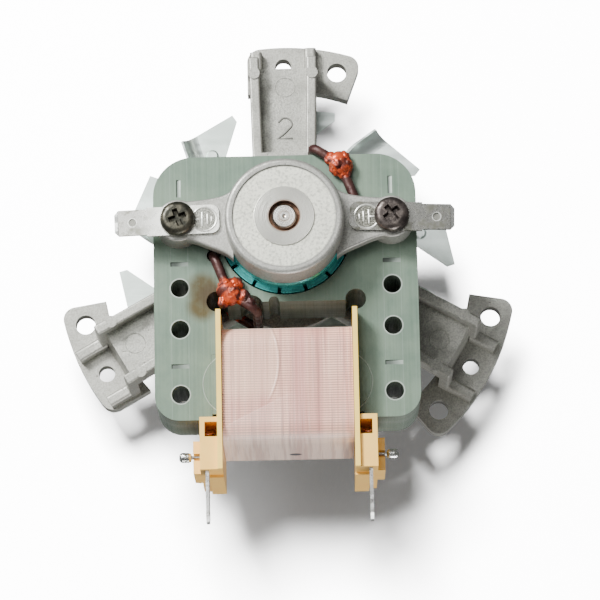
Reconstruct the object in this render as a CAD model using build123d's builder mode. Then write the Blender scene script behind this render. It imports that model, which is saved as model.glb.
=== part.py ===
# Oven fan motor: a shaded-pole motor on a three-armed cast bracket.
#
# Frame: the origin is the middle of the mounting face (the underside of the feet) on the
# shaft line. +Z runs up the shaft to the rear bearing bridge, +Y points to the single
# upper foot, and the coil with its terminals lies towards -Y. All sizes are in millimetres.

import os
from math import asin, cos, degrees, radians, sin

from build123d import *

os.makedirs("parts", exist_ok=True)

# Mounting feet
foot_circle_r = 53.75        # all the foot holes lie on this circle
foot_past_holes = 5.25       # plate outside that circle
foot_before_holes = 6.45     # and inside it
foot_t = 4.0
foot_hole_r = 2.1            # one in the middle of each foot
ear_hole_r = 2.5             # one in each ear
ear_angle = 15.0             # from a foot's middle hole to its ear hole
ear_margin = 5.4             # degrees of plate past an ear hole
ear_corner_r = 3.2
foot_side = 9.4              # half width of a foot on a side with no ear
foot_side_corner_r = 3.6
foot_angles = (90.0, 210.0, 330.0)
double_eared_foot = 330.0    # the one foot that has an ear on both sides

# Bracket arms
bracket_h = 25.5             # mounting face to the underside of the stator
arm_floor_z = 15.0
arm_floor_t = 2.5
arm_half_w_in = 7.5          # half width of an arm at the hub
arm_half_w_out = 8.7         # and at its foot
floor_past_foot = 2.0        # an arm's floor runs this far over its foot
arm_wall_t = 2.6
arm_wall_draft = 0.7         # the end wall leans out by this much at the foot
rib_t = 2.6
rib_drop = 3.7               # rib tops stay this far below the stator
rib_past_floor = 2.1
hub_wall_u = 26.0            # outer face of the wall across an arm's channel at the hub
hub_wall_t = 2.5
pad_r = 1.5                  # round ejector pads on the ribs
pad_back = 0.3               # their middles, inside the foot's inner edge
pad_proud = 0.3
ridge_w = 3.1                # low rounded ridge that each rib leaves on the foot
ridge_h = 3.2
ridge_round = 0.8
ridge_inset = 0.1            # its side, inside the rib's
ridge_short_ear = 1.1        # it ends this far inside the foot's edge, on the eared side
ridge_short_plain = 2.0      # and on the other
cast_edge = 0.5              # small rounds on the casting's edges

# Hub, screw bosses and bearing cups
hub_r = 19.0
screw_x = 26.0
screw_y = 1.25
boss_r = 5.2
lug_t = 4.0
cup_r = 14.4
cup_wall = 2.0
cup_gap = 4.0                # stator face to the open rim of a cup
cup_depth = 10.4
cup_floor_t = 3.0
cup_edge = 1.0
cup_mouth_r = 3.8            # hole in a cup's floor round the shaft
seat_r = 8.6                 # boss inside the cup that the bearing sits in
seat_h = 2.0

# Rear bridge
strap_t = 3.5
strap_lift = 3.3             # the straps clear the stator by this much
strap_half_w = 4.7           # near the screw
strap_mid_x = 17.8
strap_mid_w = 6.2
strap_flare_x = 12.6
strap_flare = 8.8            # half width where a strap meets the cup
bridge_foot_r = 5.5          # foot of a strap's boss on the stator
face_rim_r = 12.6            # inside edge of the rim round the turned face
face_drop = 0.4
face_boss_r = 7.3
face_boss_h = 0.3

# Stator stack
stack_t = 20.0
stack_half_w = 32.3
stack_top_wall = 2.45        # bore to the stack's upper edge
stack_bottom_y = -47.1
stack_top_corner_r = 10.0
stack_bottom_corner_r = 6.0
air_gap = 0.35
window_half_w = 17.3
window_wall = 1.65           # bore to the window
corner_relief_x = 17.0
corner_relief_rise = 0.3     # its middle, above the window's edge
corner_relief_r = 2.5
ring_relief_x = -8.6         # round bay for the lower shading ring
ring_relief_drop = 1.4
ring_relief_r = 3.1
window_notch_x = -3.0
window_notch_r = 1.3
fixing_hole_r = 2.2
fixing_hole_ys = (-14.2, -24.5, -40.7)
clinch_l = 4.4
clinch_w = 1.1
clinch_depth = 0.35
clinch_upright_y = 10.9
clinch_flat_ys = (-8.2, -33.7)

# Coil core, the loose bar that carries the coil
core_top_y = -30.9
core_bottom_y = -45.7
core_half_l = 18.4
core_lobe_r = 7.8
core_lobe_reach = 2.05
core_fit = 0.05

# Bobbin
bobbin_wall = 1.2
bobbin_fit = 0.15            # bobbin to core
flange_out_x = 17.15
flange_t = 1.2
flange_half_z = 17.0
flange_top_y = -21.1
front_y = -60.2              # front face of the terminal housings
housing_x = 21.4
housing_gap = 0.3            # housings to the end of the stator
housing_drop = 1.0           # housings end this far below the flange tops
housing_wall = 1.2
pocket_depth = 12.0
pocket_y = -52.2             # front end of a housing's open pocket
clip_x = 23.2                # outer face of the pin clip on a housing
clip_y = -52.2
clip_top = 6.5               # clip top, below the housing's top
clip_h = 13.5
clip_slot_w = 1.7
block_out_x = 19.5           # solid block in front of each flange, under the terminal
block_h = 25.0
block_deep = 3.2
block_proud = 0.7            # it stands this far in front of the housing

# Winding and tape
winding_t = 4.1
tape_t = 0.45
coil_corner_r = 5.0
coil_side_fit = 0.1
coil_front_extra = 2.0       # the coil is fuller at its front

# Terminals
tab_x = 19.7
tab_w = 6.3
tab_t = 0.8
tab_out = 12.4
tab_in = 5.6
tab_depth = 1.2              # tab edge, below the housing's top
tab_nose = 1.4
tab_hole_r = 0.9
pin_r = 0.4
pin_y = -56.1
pin_out_x = 26.2
solder_r = 1.2
solder_l = 3.0

# Earth tabs under the bridge screws
earth_in_x = 15.9            # inner end from the shaft line
earth_step_x = 33.5
earth_out_x = 41.4
earth_inner_w = 7.1
earth_outer_w = 6.35
earth_t = 0.8
earth_hole_r = 2.6
earth_corner_r = 2.0
earth_shift = 0.25           # the tabs sit a little low of their screws
earth_skew = 1.9             # and turn this many degrees, tips down
earth_nose = 1.0
earth_bevel = 0.5            # thinned edge at the tip
earth_detent_x = 37.0
earth_detent_r = 0.95
earth_detent_depth = 0.35

# Bridge screws, M4 cross recessed pan heads
screw_r = 1.95
screw_head_r = 4.25
screw_head_h = 2.5
screw_head_round = 1.5
screw_recess_w = 1.4
screw_recess_l = 4.4
screw_recess_depth = 1.5
screw_turn_left = 20.0       # where each screw's recess came to rest
screw_turn_right = 37.0
screw_thread_l = 9.0         # length held in the bracket's boss
screw_bore_r = 2.0

# Shading rings
wire_r = 1.2
wire_bend_r = 2.2
wire_lift = 0.15             # wire to the stator's face
ring_inner_wall = 2.4        # bore to the wire where it passes the pole beside the rotor
ring_inner_angle = 19.3
ring_joint_wall = 4.85       # bore to the brazed joint
ring_joint_angle = 49.0
ring_outer_wall = 5.2        # bore to the wire where it passes outside the pole
ring_outer_angle = 70.5
ring_slot_r = 1.6
ring_slot_mouth = 1.2
joint_half_l = 3.0
joint_r = 2.5

# Rotor
rotor_r = 16.0
rotor_over = 0.3             # the rotor stack is longer than the stator by this at each end
cage_ring_inset = 1.5        # the cage's rings, inside the rotor's face
cage_ring_w = 5.9
cage_ring_h = 2.3
cage_ring_edge = 0.5
cage_bars = 15
cage_bar_r = 1.25
cage_bar_inset = 2.6
rotor_slot_w = 0.9

# Shaft and what it runs in
shaft_r = 3.0
shaft_front = 25.0           # length in front of the mounting face
shaft_rear_drop = 0.4        # its rear end, below the face of the bridge
shaft_chamfer = 0.4
shaft_end_r = 2.5            # turned down at the front for the hot air wheel
shaft_end_l = 13.0
shaft_flat_depth = 0.45
running_fit = 0.03
bearing_r = 6.5
bearing_half_l = 4.5
bearing_inset = 3.5          # bearing centre to the cup's open rim
bearing_seat_fit = 0.05
felt_in_r = 6.9
felt_inset = 1.5             # felt to the cup's open rim
felt_fit = 0.1
retainer_t = 0.6
retainer_in_r = 6.25
retainer_inset = 0.7
retainer_fit = 0.05
spacer_r = 5.0
washer_r = 5.6
washer_t = 1.0
end_play = 0.3

# Cooling fan
fan_z = 3.2
fan_t = 0.6
fan_gap = 4.1                # fan to the arms' end walls
blade_l = 19.2               # a blade from the hub disc to the fan's edge
fan_blades = 10
fan_start = -0.6             # angle of a blade's leading tip
blade_corner_drop = 2.0      # the leading tip is cut back by this much along the radius
blade_corner_angle = 0.8
blade_lead_drop = 9.8        # the leading edge's corner, below the fan's edge
blade_lead_angle = 10.0
blade_root_angle = 15.5
blade_lap = 2.0              # blades start this far inside the hub's edge
lip_tip_drop = 0.5
lip_tip_angle = 21.1
lip_root_drop = 8.6
lip_root_angle = 26.3
dimple_drop = 7.7            # raised dimple that stiffens each blade, below the fan's edge
dimple_angle = 14.6
dimple_foot_r = 1.7
dimple_h = 0.6
lip_r = 4.2
lip_bend = 65.0
lip_run = 1.2
lip_rise = 0.25              # slope of the lip's top from the hub outwards
fan_bush_r = 6.0
fan_bush_top = 9.7
fan_spigot_r = 4.2
fan_rivet_r = 5.0
fan_rivet_h = 0.6
circlip_r = 4.7
circlip_t = 0.7
circlip_groove_r = 2.6
circlip_mouth = 3.4

# Heights and sizes that follow from the ones above
foot_outer_r = foot_circle_r + foot_past_holes
foot_inner_r = foot_circle_r - foot_before_holes
arm_floor_end = foot_inner_r + floor_past_foot
rib_end = arm_floor_end + rib_past_floor
stack_z0 = bracket_h
stack_z1 = bracket_h + stack_t
stack_mid_z = (stack_z0 + stack_z1) / 2
arm_floor_top = arm_floor_z + arm_floor_t
rib_top = bracket_h - rib_drop
cup_rim = stack_z1 + cup_gap
cup_face = cup_rim + cup_depth
cup_in_r = cup_r - cup_wall
strap_z0 = stack_z1 + strap_lift
strap_z1 = strap_z0 + strap_t
bore_r = rotor_r + air_gap
stack_top_y = bore_r + stack_top_wall
window_top_y = -bore_r - window_wall
corner_relief_y = window_top_y + corner_relief_rise
cage_ring_r = rotor_r - cage_ring_inset
cage_bar_circle_r = rotor_r - cage_bar_inset
fan_r = foot_inner_r - fan_gap
fan_hub_r = fan_r - blade_l
core_mid_y = (core_top_y + core_bottom_y) / 2
coil_mid_y = core_mid_y - coil_front_extra / 2
coil_half_y = ((core_top_y - core_bottom_y + coil_front_extra) / 2
               + bobbin_fit + bobbin_wall + winding_t)
coil_half_z = stack_t / 2 + bobbin_fit + bobbin_wall + winding_t
coil_half_x = flange_out_x - flange_t - coil_side_fit
housing_top = stack_mid_z + flange_half_z - housing_drop
housing_bottom = stack_mid_z - flange_half_z
housing_back_y = stack_bottom_y - housing_gap
block_in_x = flange_out_x - flange_t
tab_z = housing_top - tab_depth - tab_w / 2
pin_z = tab_z - tab_w / 2 + pin_r
bearing_z = cup_rim + bearing_inset
rotor_z0 = stack_z0 - rotor_over
rotor_z1 = stack_z1 + rotor_over


def polar(radius, angle):
    """A point given by its distance from the shaft line and its angle in degrees."""
    return (radius * cos(radians(angle)), radius * sin(radians(angle)))


ring_inner = polar(bore_r + ring_inner_wall, ring_inner_angle)
ring_joint = polar(bore_r + ring_joint_wall, ring_joint_angle)
ring_outer = polar(bore_r + ring_outer_wall, ring_outer_angle)


def save(piece, name):
    """Name a finished piece and write its STEP file."""
    piece.part.label = name
    export_step(piece.part, f"parts/{name}.step")


# Bearing cup: the outside as a solid and its hollow, used for the bridge and the bracket
with BuildPart() as cup_outside:
    with BuildSketch(Plane.XY.offset(cup_rim)):
        Circle(cup_r)
    extrude(amount=cup_depth)
    outer_face = cup_outside.faces().sort_by(Axis.Z)[-1]
    fillet(outer_face.edges(), cup_edge)

with BuildPart() as cup_hollow:
    with BuildSketch(Plane.XY.offset(cup_rim)):
        Circle(cup_in_r)
    extrude(amount=cup_depth - cup_floor_t)
    with BuildSketch(Plane.XY.offset(cup_face - cup_floor_t)):
        Circle(seat_r)
    extrude(amount=-seat_h, mode=Mode.SUBTRACT)
    with Locations((0, 0, bearing_z)):
        Sphere(bearing_r + bearing_seat_fit)
    with BuildSketch(Plane.XY.offset(cup_rim)):
        Circle(cup_mouth_r)
    extrude(amount=cup_depth)
    # What the ball leaves outside the cup's rim
    with BuildSketch(Plane.XY.offset(cup_rim)):
        Circle(cup_in_r)
    extrude(amount=-cup_gap, mode=Mode.SUBTRACT)

# One arm of the bracket, along +X
with BuildPart() as arm:
    # The two ribs, which run down to the foot at their outer ends
    with BuildSketch():
        Polygon((0, arm_half_w_in), (rib_end, arm_half_w_out),
                (rib_end, arm_half_w_out - rib_t), (0, arm_half_w_in - rib_t), align=None)
        mirror(about=Plane.XZ)
    extrude(amount=rib_top)
    fillet(arm.edges().filter_by(Axis.Z).group_by(Axis.X)[-1], cast_edge)
    fillet(arm.faces().filter_by(Axis.Z).group_by(Axis.Z)[-1].edges(), cast_edge)
    with BuildSketch():
        Rectangle(rib_end - arm_wall_t, 4 * arm_half_w_out, align=(Align.MIN, Align.CENTER))
    extrude(amount=arm_floor_z, mode=Mode.SUBTRACT)
    # Floor of the channel and the wall that steps down to the foot, as one bent section
    with BuildSketch(Plane.XZ):
        Polygon(
            (0, arm_floor_z),
            (arm_floor_end - arm_wall_t, arm_floor_z),
            (arm_floor_end - arm_wall_t + arm_wall_draft, 0),
            (arm_floor_end + arm_wall_draft, 0),
            (arm_floor_end, arm_floor_top),
            (0, arm_floor_top),
            align=None,
        )
    extrude(amount=arm_half_w_in - rib_t / 2, both=True)
    # Wall across the channel at the hub
    with BuildSketch(Plane.XY.offset(arm_floor_z)):
        with Locations((hub_wall_u - hub_wall_t, 0)):
            Rectangle(hub_wall_t, 2 * arm_half_w_in - rib_t, align=(Align.MIN, Align.CENTER))
    extrude(amount=rib_top - arm_floor_z)
    # Rounded ridges that the ribs leave on the foot
    ridge_start = rib_end - arm_wall_t / 2
    for way, short in ((-1, ridge_short_ear), (1, ridge_short_plain)):
        with BuildSketch(Plane.YZ.offset(ridge_start)) as ridge_section:
            ridge_y = arm_half_w_out - ridge_inset - ridge_w / 2
            with Locations((way * ridge_y, foot_t - ridge_h)):
                Rectangle(ridge_w, 2 * ridge_h, align=(Align.CENTER, Align.MIN))
            fillet(ridge_section.vertices().group_by(Axis.Z)[-1], ridge_round)
        extrude(amount=foot_outer_r - short - ridge_start)
    # Ejector pads
    with BuildSketch(Plane.XY.offset(arm_floor_top)):
        with Locations((foot_inner_r - pad_back, arm_half_w_out - rib_t / 2)):
            Circle(pad_r)
        mirror(about=Plane.XZ)
    extrude(amount=rib_top + pad_proud - arm_floor_top)

# Mounting bracket: one casting with three arms on feet, a hub with the front bearing's cup
# and the two bosses that take the bridge screws
with BuildPart() as mounting_bracket:
    for angle in foot_angles:
        low = ear_angle + ear_margin
        if angle == double_eared_foot:
            high_out = low
            high_in = low
            high_corner = ear_corner_r
        else:
            high_out = degrees(asin(foot_side / foot_outer_r))
            high_in = degrees(asin(foot_side / foot_inner_r))
            high_corner = foot_side_corner_r
        low_tip = polar(foot_outer_r, angle - low)
        low_root = polar(foot_inner_r, angle - low)
        high_tip = polar(foot_outer_r, angle + high_out)
        high_root = polar(foot_inner_r, angle + high_in)
        with BuildSketch() as foot:
            with BuildLine():
                ThreePointArc(low_tip, polar(foot_outer_r, angle), high_tip)
                Line(high_tip, high_root)
                ThreePointArc(high_root, polar(foot_inner_r, angle), low_root)
                Line(low_root, low_tip)
            make_face()
            fillet(foot.vertices().sort_by_distance(low_tip)[0], ear_corner_r)
            fillet(foot.vertices().sort_by_distance(high_tip)[0], high_corner)
            with Locations(polar(foot_circle_r, angle)):
                Circle(foot_hole_r, mode=Mode.SUBTRACT)
            with Locations(polar(foot_circle_r, angle - ear_angle)):
                Circle(ear_hole_r, mode=Mode.SUBTRACT)
            if angle == double_eared_foot:
                with Locations(polar(foot_circle_r, angle + ear_angle)):
                    Circle(ear_hole_r, mode=Mode.SUBTRACT)
        extrude(amount=foot_t)
    with PolarLocations(0, len(foot_angles), start_angle=foot_angles[0]):
        add(arm.part)
    # Hub plate
    with BuildSketch(Plane.XY.offset(arm_floor_z)):
        Circle(hub_r)
    extrude(amount=arm_floor_t)
    # Lugs and the bosses at their ends
    with BuildSketch(Plane.XY.offset(arm_floor_z)):
        with Locations((0, screw_y)):
            Rectangle(2 * screw_x, 2 * boss_r)
        with Locations((-screw_x, screw_y), (screw_x, screw_y)):
            Circle(boss_r)
    extrude(amount=lug_t)
    with BuildSketch(Plane.XY.offset(arm_floor_z)):
        with Locations((-screw_x, screw_y), (screw_x, screw_y)):
            Circle(boss_r)
    extrude(amount=stack_z0 - arm_floor_z)
    with BuildSketch(Plane.XY.offset(stack_z0)):
        with Locations((-screw_x, screw_y), (screw_x, screw_y)):
            Circle(screw_bore_r)
    extrude(amount=arm_floor_z - stack_z0, mode=Mode.SUBTRACT)
    # Front bearing's cup, the rear one's mirror image in the middle of the stack
    mirror(cup_outside.part, about=Plane.XY.offset(stack_mid_z))
    mirror(cup_hollow.part, about=Plane.XY.offset(stack_mid_z), mode=Mode.SUBTRACT)
    # The arms and lugs stop short of the rotor above the cup
    with BuildSketch(Plane.XY.offset(stack_z0 - cup_gap)):
        Circle(cup_in_r)
    extrude(amount=cup_gap, mode=Mode.SUBTRACT)
save(mounting_bracket, "mounting_bracket")

# Rear bridge: one casting that holds the rear bearing over the rotor
with BuildPart() as rear_bridge:
    add(cup_outside.part)
    for side in (-1, 1):
        with BuildSketch(Plane.XY.offset(strap_z0)):
            with BuildLine():
                Spline((side * screw_x, screw_y + strap_half_w),
                       (side * strap_mid_x, strap_mid_w + screw_y / 3),
                       (side * strap_flare_x, strap_flare),
                       tangents=((-side, 0), (-side, 1.2)))
                Line((side * strap_flare_x, strap_flare), (side * strap_flare_x, -strap_flare))
                Spline((side * strap_flare_x, -strap_flare),
                       (side * strap_mid_x, screw_y / 3 - strap_mid_w),
                       (side * screw_x, screw_y - strap_half_w),
                       tangents=((side, 1.2), (side, 0)))
                Line((side * screw_x, screw_y - strap_half_w),
                     (side * screw_x, screw_y + strap_half_w))
            make_face()
            with Locations((side * screw_x, screw_y)):
                Circle(boss_r)
        extrude(amount=strap_t)
        with BuildSketch(Plane.XY.offset(stack_z1)):
            with Locations((side * screw_x, screw_y)):
                Circle(bridge_foot_r)
        with BuildSketch(Plane.XY.offset(strap_z0)):
            with Locations((side * screw_x, screw_y)):
                Circle(boss_r)
        loft()
    strap_top = rear_bridge.edges().filter_by_position(Axis.Z, strap_z1, strap_z1)
    fillet(strap_top.filter_by(lambda edge: edge.center().Z > 0 and abs(edge.center().X) > cup_r),
           cast_edge)
    # Turned face with its raised middle
    with BuildSketch(Plane.XY.offset(cup_face)):
        Circle(face_rim_r)
    extrude(amount=-face_drop, mode=Mode.SUBTRACT)
    with BuildSketch(Plane.XY.offset(cup_face - face_drop)):
        Circle(face_boss_r)
    extrude(amount=face_boss_h)
    # Hollow, clear space for the rotor below it, and the screw holes
    add(cup_hollow.part, mode=Mode.SUBTRACT)
    with BuildSketch(Plane.XY.offset(stack_z1)):
        Circle(cup_in_r)
    extrude(amount=cup_gap, mode=Mode.SUBTRACT)
    with BuildSketch(Plane.XY.offset(stack_z1)):
        with Locations((-screw_x, screw_y), (screw_x, screw_y)):
            Circle(fixing_hole_r)
    extrude(amount=strap_z1 - stack_z1, mode=Mode.SUBTRACT)
save(rear_bridge, "rear_bridge")

# Stator stack: the laminations with the rotor's bore, the coil's window and all the holes
with BuildPart() as stator_stack:
    with BuildSketch(Plane.XY.offset(stack_z0)) as outline:
        with Locations((0, (stack_top_y + stack_bottom_y) / 2)):
            Rectangle(2 * stack_half_w, stack_top_y - stack_bottom_y)
        fillet(outline.vertices().group_by(Axis.Y)[-1], stack_top_corner_r)
        fillet(outline.vertices().group_by(Axis.Y)[0], stack_bottom_corner_r)
        Circle(bore_r, mode=Mode.SUBTRACT)
        # Window, wider where the core sits between the legs
        with Locations((0, (window_top_y + stack_bottom_y) / 2)):
            Rectangle(2 * window_half_w, window_top_y - stack_bottom_y, mode=Mode.SUBTRACT)
        with Locations((0, (core_top_y + core_fit + stack_bottom_y) / 2)):
            Rectangle(2 * (core_half_l + core_fit), core_top_y + core_fit - stack_bottom_y,
                      mode=Mode.SUBTRACT)
        lobe_x = core_half_l + core_lobe_reach - core_lobe_r
        with Locations((-lobe_x, core_mid_y), (lobe_x, core_mid_y)):
            Circle(core_lobe_r + core_fit, mode=Mode.SUBTRACT)
        with Locations((-corner_relief_x, corner_relief_y), (corner_relief_x, corner_relief_y)):
            Circle(corner_relief_r, mode=Mode.SUBTRACT)
        with Locations((ring_relief_x, window_top_y - ring_relief_drop)):
            Circle(ring_relief_r, mode=Mode.SUBTRACT)
        with Locations((window_notch_x, window_top_y)):
            Circle(window_notch_r, mode=Mode.SUBTRACT)
        # Slots for the shading rings, open to the bore
        with PolarLocations(0, 2):
            with Locations(ring_inner):
                Circle(ring_slot_r, mode=Mode.SUBTRACT)
            with Locations(Rotation(0, 0, ring_inner_angle)):
                with Locations((bore_r + ring_inner_wall - ring_slot_r, 0)):
                    Rectangle(2 * ring_slot_r, ring_slot_mouth, mode=Mode.SUBTRACT)
        with Locations((-screw_x, screw_y), (screw_x, screw_y)):
            Circle(fixing_hole_r, mode=Mode.SUBTRACT)
        for y in fixing_hole_ys:
            with Locations((-screw_x, y), (screw_x, y)):
                Circle(fixing_hole_r, mode=Mode.SUBTRACT)
    extrude(amount=stack_t)
    # Clinch marks that hold the laminations together
    with BuildSketch(Plane.XY.offset(stack_z1)):
        with Locations((-screw_x, clinch_upright_y), (screw_x, clinch_upright_y)):
            Rectangle(clinch_w, clinch_l)
        for y in clinch_flat_ys:
            with Locations((-screw_x, y), (screw_x, y)):
                Rectangle(clinch_l, clinch_w)
    extrude(amount=-clinch_depth, mode=Mode.SUBTRACT)
save(stator_stack, "stator_stack")

# Coil core: the bar through the coil, with a round lobe at each end
with BuildPart() as coil_core:
    with BuildSketch(Plane.XY.offset(stack_z0)):
        with Locations((0, core_mid_y)):
            Rectangle(2 * core_half_l, core_top_y - core_bottom_y)
        with Locations((-lobe_x, core_mid_y), (lobe_x, core_mid_y)):
            Circle(core_lobe_r)
        # The lobes stay inside the core's own height
        with Locations((0, core_mid_y)):
            Rectangle(2 * stack_half_w, core_top_y - core_bottom_y, mode=Mode.INTERSECT)
    extrude(amount=stack_t)
save(coil_core, "coil_core")

# Bobbin: tube, two flanges and a terminal housing on each side
with BuildPart() as bobbin:
    tube_y = core_top_y - core_bottom_y + 2 * bobbin_fit
    tube_z = stack_t + 2 * bobbin_fit
    with BuildSketch(Plane.YZ):
        with Locations((core_mid_y, stack_mid_z)):
            Rectangle(tube_y + 2 * bobbin_wall, tube_z + 2 * bobbin_wall)
    extrude(amount=flange_out_x, both=True)
    for side in (-1, 1):
        with BuildSketch(Plane.YZ.offset(side * flange_out_x)):
            with Locations(((flange_top_y + front_y) / 2, stack_mid_z)):
                Rectangle(flange_top_y - front_y, 2 * flange_half_z)
        extrude(amount=-side * flange_t)
        # Terminal housing with its open pocket
        with BuildSketch(Plane.XY.offset(housing_bottom)):
            with Locations((side * (flange_out_x + housing_x) / 2, (housing_back_y + front_y) / 2)):
                Rectangle(housing_x - flange_out_x, housing_back_y - front_y)
        extrude(amount=housing_top - housing_bottom)
        with BuildSketch(Plane.XY.offset(housing_top)):
            pocket_back = housing_back_y - housing_wall
            pocket_out = housing_x - housing_wall
            with Locations((side * (flange_out_x + pocket_out) / 2, (pocket_back + pocket_y) / 2)):
                Rectangle(pocket_out - flange_out_x, pocket_back - pocket_y)
        extrude(amount=-pocket_depth, mode=Mode.SUBTRACT)
        # Block in front of the flange
        with BuildSketch(Plane.XY.offset(housing_bottom)):
            with Locations((side * (block_in_x + block_out_x) / 2, front_y - block_proud + block_deep / 2)):
                Rectangle(block_out_x - block_in_x, block_deep)
        extrude(amount=block_h)
        # Clip that the wire pin rests in
        with BuildSketch(Plane.XY.offset(housing_top - clip_top)):
            with Locations((side * (housing_x + clip_x) / 2, (clip_y + front_y) / 2)):
                Rectangle(clip_x - housing_x, clip_y - front_y)
        extrude(amount=-clip_h)
        with BuildSketch(Plane.XY.offset(pin_z - pin_r)):
            with Locations((side * (tab_x + clip_x) / 2, pin_y)):
                Rectangle(clip_x - tab_x, clip_slot_w)
        extrude(amount=housing_top - clip_top - pin_z + pin_r, mode=Mode.SUBTRACT)
        # Slot that the terminal is pushed into
        with BuildSketch(Plane.XZ.offset(-front_y)):
            with Locations((side * tab_x, tab_z)):
                Rectangle(tab_t, tab_w)
        extrude(amount=-tab_in, mode=Mode.SUBTRACT)
    with BuildSketch(Plane.YZ):
        with Locations((core_mid_y, stack_mid_z)):
            Rectangle(tube_y, tube_z)
    extrude(amount=flange_out_x, both=True, mode=Mode.SUBTRACT)
save(bobbin, "bobbin")

# Winding, and the tape wrapped round it
with BuildPart() as coil_winding:
    with BuildSketch(Plane.YZ):
        with Locations((coil_mid_y, stack_mid_z)):
            RectangleRounded(2 * coil_half_y, 2 * coil_half_z, coil_corner_r - tape_t)
        with Locations((core_mid_y, stack_mid_z)):
            Rectangle(tube_y + 2 * bobbin_wall, tube_z + 2 * bobbin_wall, mode=Mode.SUBTRACT)
    extrude(amount=coil_half_x, both=True)
save(coil_winding, "coil_winding")

with BuildPart() as tape_wrap:
    with BuildSketch(Plane.YZ):
        with Locations((coil_mid_y, stack_mid_z)):
            RectangleRounded(2 * (coil_half_y + tape_t), 2 * (coil_half_z + tape_t), coil_corner_r)
            RectangleRounded(2 * coil_half_y, 2 * coil_half_z, coil_corner_r - tape_t,
                             mode=Mode.SUBTRACT)
    extrude(amount=coil_half_x, both=True)
save(tape_wrap, "tape_wrap")

# Terminals: a flat tab each, with the pin that the winding's end is soldered to
for side, name in ((-1, "left"), (1, "right")):
    with BuildPart() as terminal:
        with BuildSketch(Plane.YZ.offset(side * tab_x)):
            with BuildLine():
                Polyline(
                    (front_y + tab_in, tab_z - tab_w / 2),
                    (front_y - tab_out + tab_nose, tab_z - tab_w / 2),
                    (front_y - tab_out, tab_z - tab_w / 2 + tab_nose),
                    (front_y - tab_out, tab_z + tab_w / 2 - tab_nose),
                    (front_y - tab_out + tab_nose, tab_z + tab_w / 2),
                    (front_y + tab_in, tab_z + tab_w / 2),
                    close=True,
                )
            make_face()
            with Locations((front_y - tab_out * 0.72, tab_z)):
                Circle(tab_hole_r, mode=Mode.SUBTRACT)
        extrude(amount=tab_t / 2, both=True)
        with BuildSketch(Plane.YZ.offset(side * tab_x)):
            with Locations((pin_y, pin_z)):
                Circle(pin_r)
        extrude(amount=side * (pin_out_x - tab_x))
    save(terminal, f"terminal_{name}")

    # Solder on the end of the pin
    with BuildPart() as solder_joint:
        with BuildSketch(Plane.YZ.offset(side * (pin_out_x + solder_r / 3))):
            with Locations((pin_y, pin_z)):
                Circle(solder_r)
        extrude(amount=-side * solder_l)
        fillet(solder_joint.edges().filter_by(GeomType.CIRCLE), solder_r * 0.7)
        with BuildSketch(Plane.YZ.offset(side * pin_out_x)):
            with Locations((pin_y, pin_z)):
                Circle(pin_r)
        extrude(amount=-side * solder_l, mode=Mode.SUBTRACT)
    save(solder_joint, f"solder_joint_{name}")

# Shading rings: a copper wire ring round part of each pole, brazed where its ends meet
wire_top = stack_z1 + wire_lift + wire_r
with BuildPart() as half_ring:
    with BuildLine() as ring_path:
        FilletPolyline((*ring_inner, stack_mid_z), (*ring_inner, wire_top),
                       (*ring_joint, wire_top), (*ring_outer, wire_top),
                       (*ring_outer, stack_mid_z), radius=wire_bend_r)
    with BuildSketch(Plane.XY.offset(stack_mid_z)):
        with Locations(ring_inner):
            Circle(wire_r)
    sweep(path=ring_path.line)
run = Vector(ring_outer[0] - ring_inner[0], ring_outer[1] - ring_inner[1], 0)
with BuildPart() as braze:
    with Locations(Plane(origin=(*ring_joint, wire_top), z_dir=run)):
        Cylinder(joint_r, 2 * joint_half_l)
    fillet(braze.edges().filter_by(GeomType.CIRCLE), joint_r * 0.7)
    split(bisect_by=Plane.XY.offset(stack_z1 + wire_lift / 2), keep=Keep.TOP)
with BuildPart() as shading_ring:
    add(half_ring.part)
    mirror(half_ring.part, about=Plane.XY.offset(stack_mid_z))
    add(braze.part)
for turn, name in ((0, "upper"), (180, "lower")):
    with BuildPart() as ring:
        with Locations(Rotation(0, 0, turn)):
            add(shading_ring.part)
    save(ring, f"shading_ring_{name}")

# Earth tabs: flat blades held under the bridge screws, a little low and askew
for side, name in ((-1, "left"), (1, "right")):
    with BuildPart() as earth_tab:
        in_x = side * (earth_in_x - screw_x)
        step_x = side * (earth_step_x - screw_x)
        nose_x = side * (earth_out_x - earth_nose - screw_x)
        out_x = side * (earth_out_x - screw_x)
        with BuildSketch(Plane.XY) as blade_outline:
            with Locations(((in_x + step_x) / 2, 0)):
                Rectangle(abs(in_x - step_x), earth_inner_w)
            fillet(blade_outline.vertices().group_by(Axis.X)[0 if side > 0 else -1], earth_corner_r)
            with BuildLine():
                Polyline(
                    (0, -earth_outer_w / 2),
                    (nose_x, -earth_outer_w / 2),
                    (out_x, -earth_outer_w / 2 + earth_nose),
                    (out_x, earth_outer_w / 2 - earth_nose),
                    (nose_x, earth_outer_w / 2),
                    (0, earth_outer_w / 2),
                    close=True,
                )
            make_face()
            Circle(earth_hole_r, mode=Mode.SUBTRACT)
        extrude(amount=earth_t)
        tip = earth_tab.faces().sort_by(Axis.X)[-1 if side > 0 else 0]
        chamfer(tip.edges().sort_by(Axis.Z)[-1], length=earth_bevel, length2=2 * earth_bevel,
                reference=tip)
        with BuildSketch(Plane.XY.offset(earth_t)):
            with Locations((side * (earth_detent_x - screw_x), 0)):
                Circle(earth_detent_r)
        extrude(amount=-earth_detent_depth, mode=Mode.SUBTRACT)
    with BuildPart() as placed_tab:
        place = (side * screw_x, screw_y - earth_shift, strap_z1)
        with Locations(Location(place, (0, 0, -side * earth_skew))):
            add(earth_tab.part)
    save(placed_tab, f"earth_tab_{name}")

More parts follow.
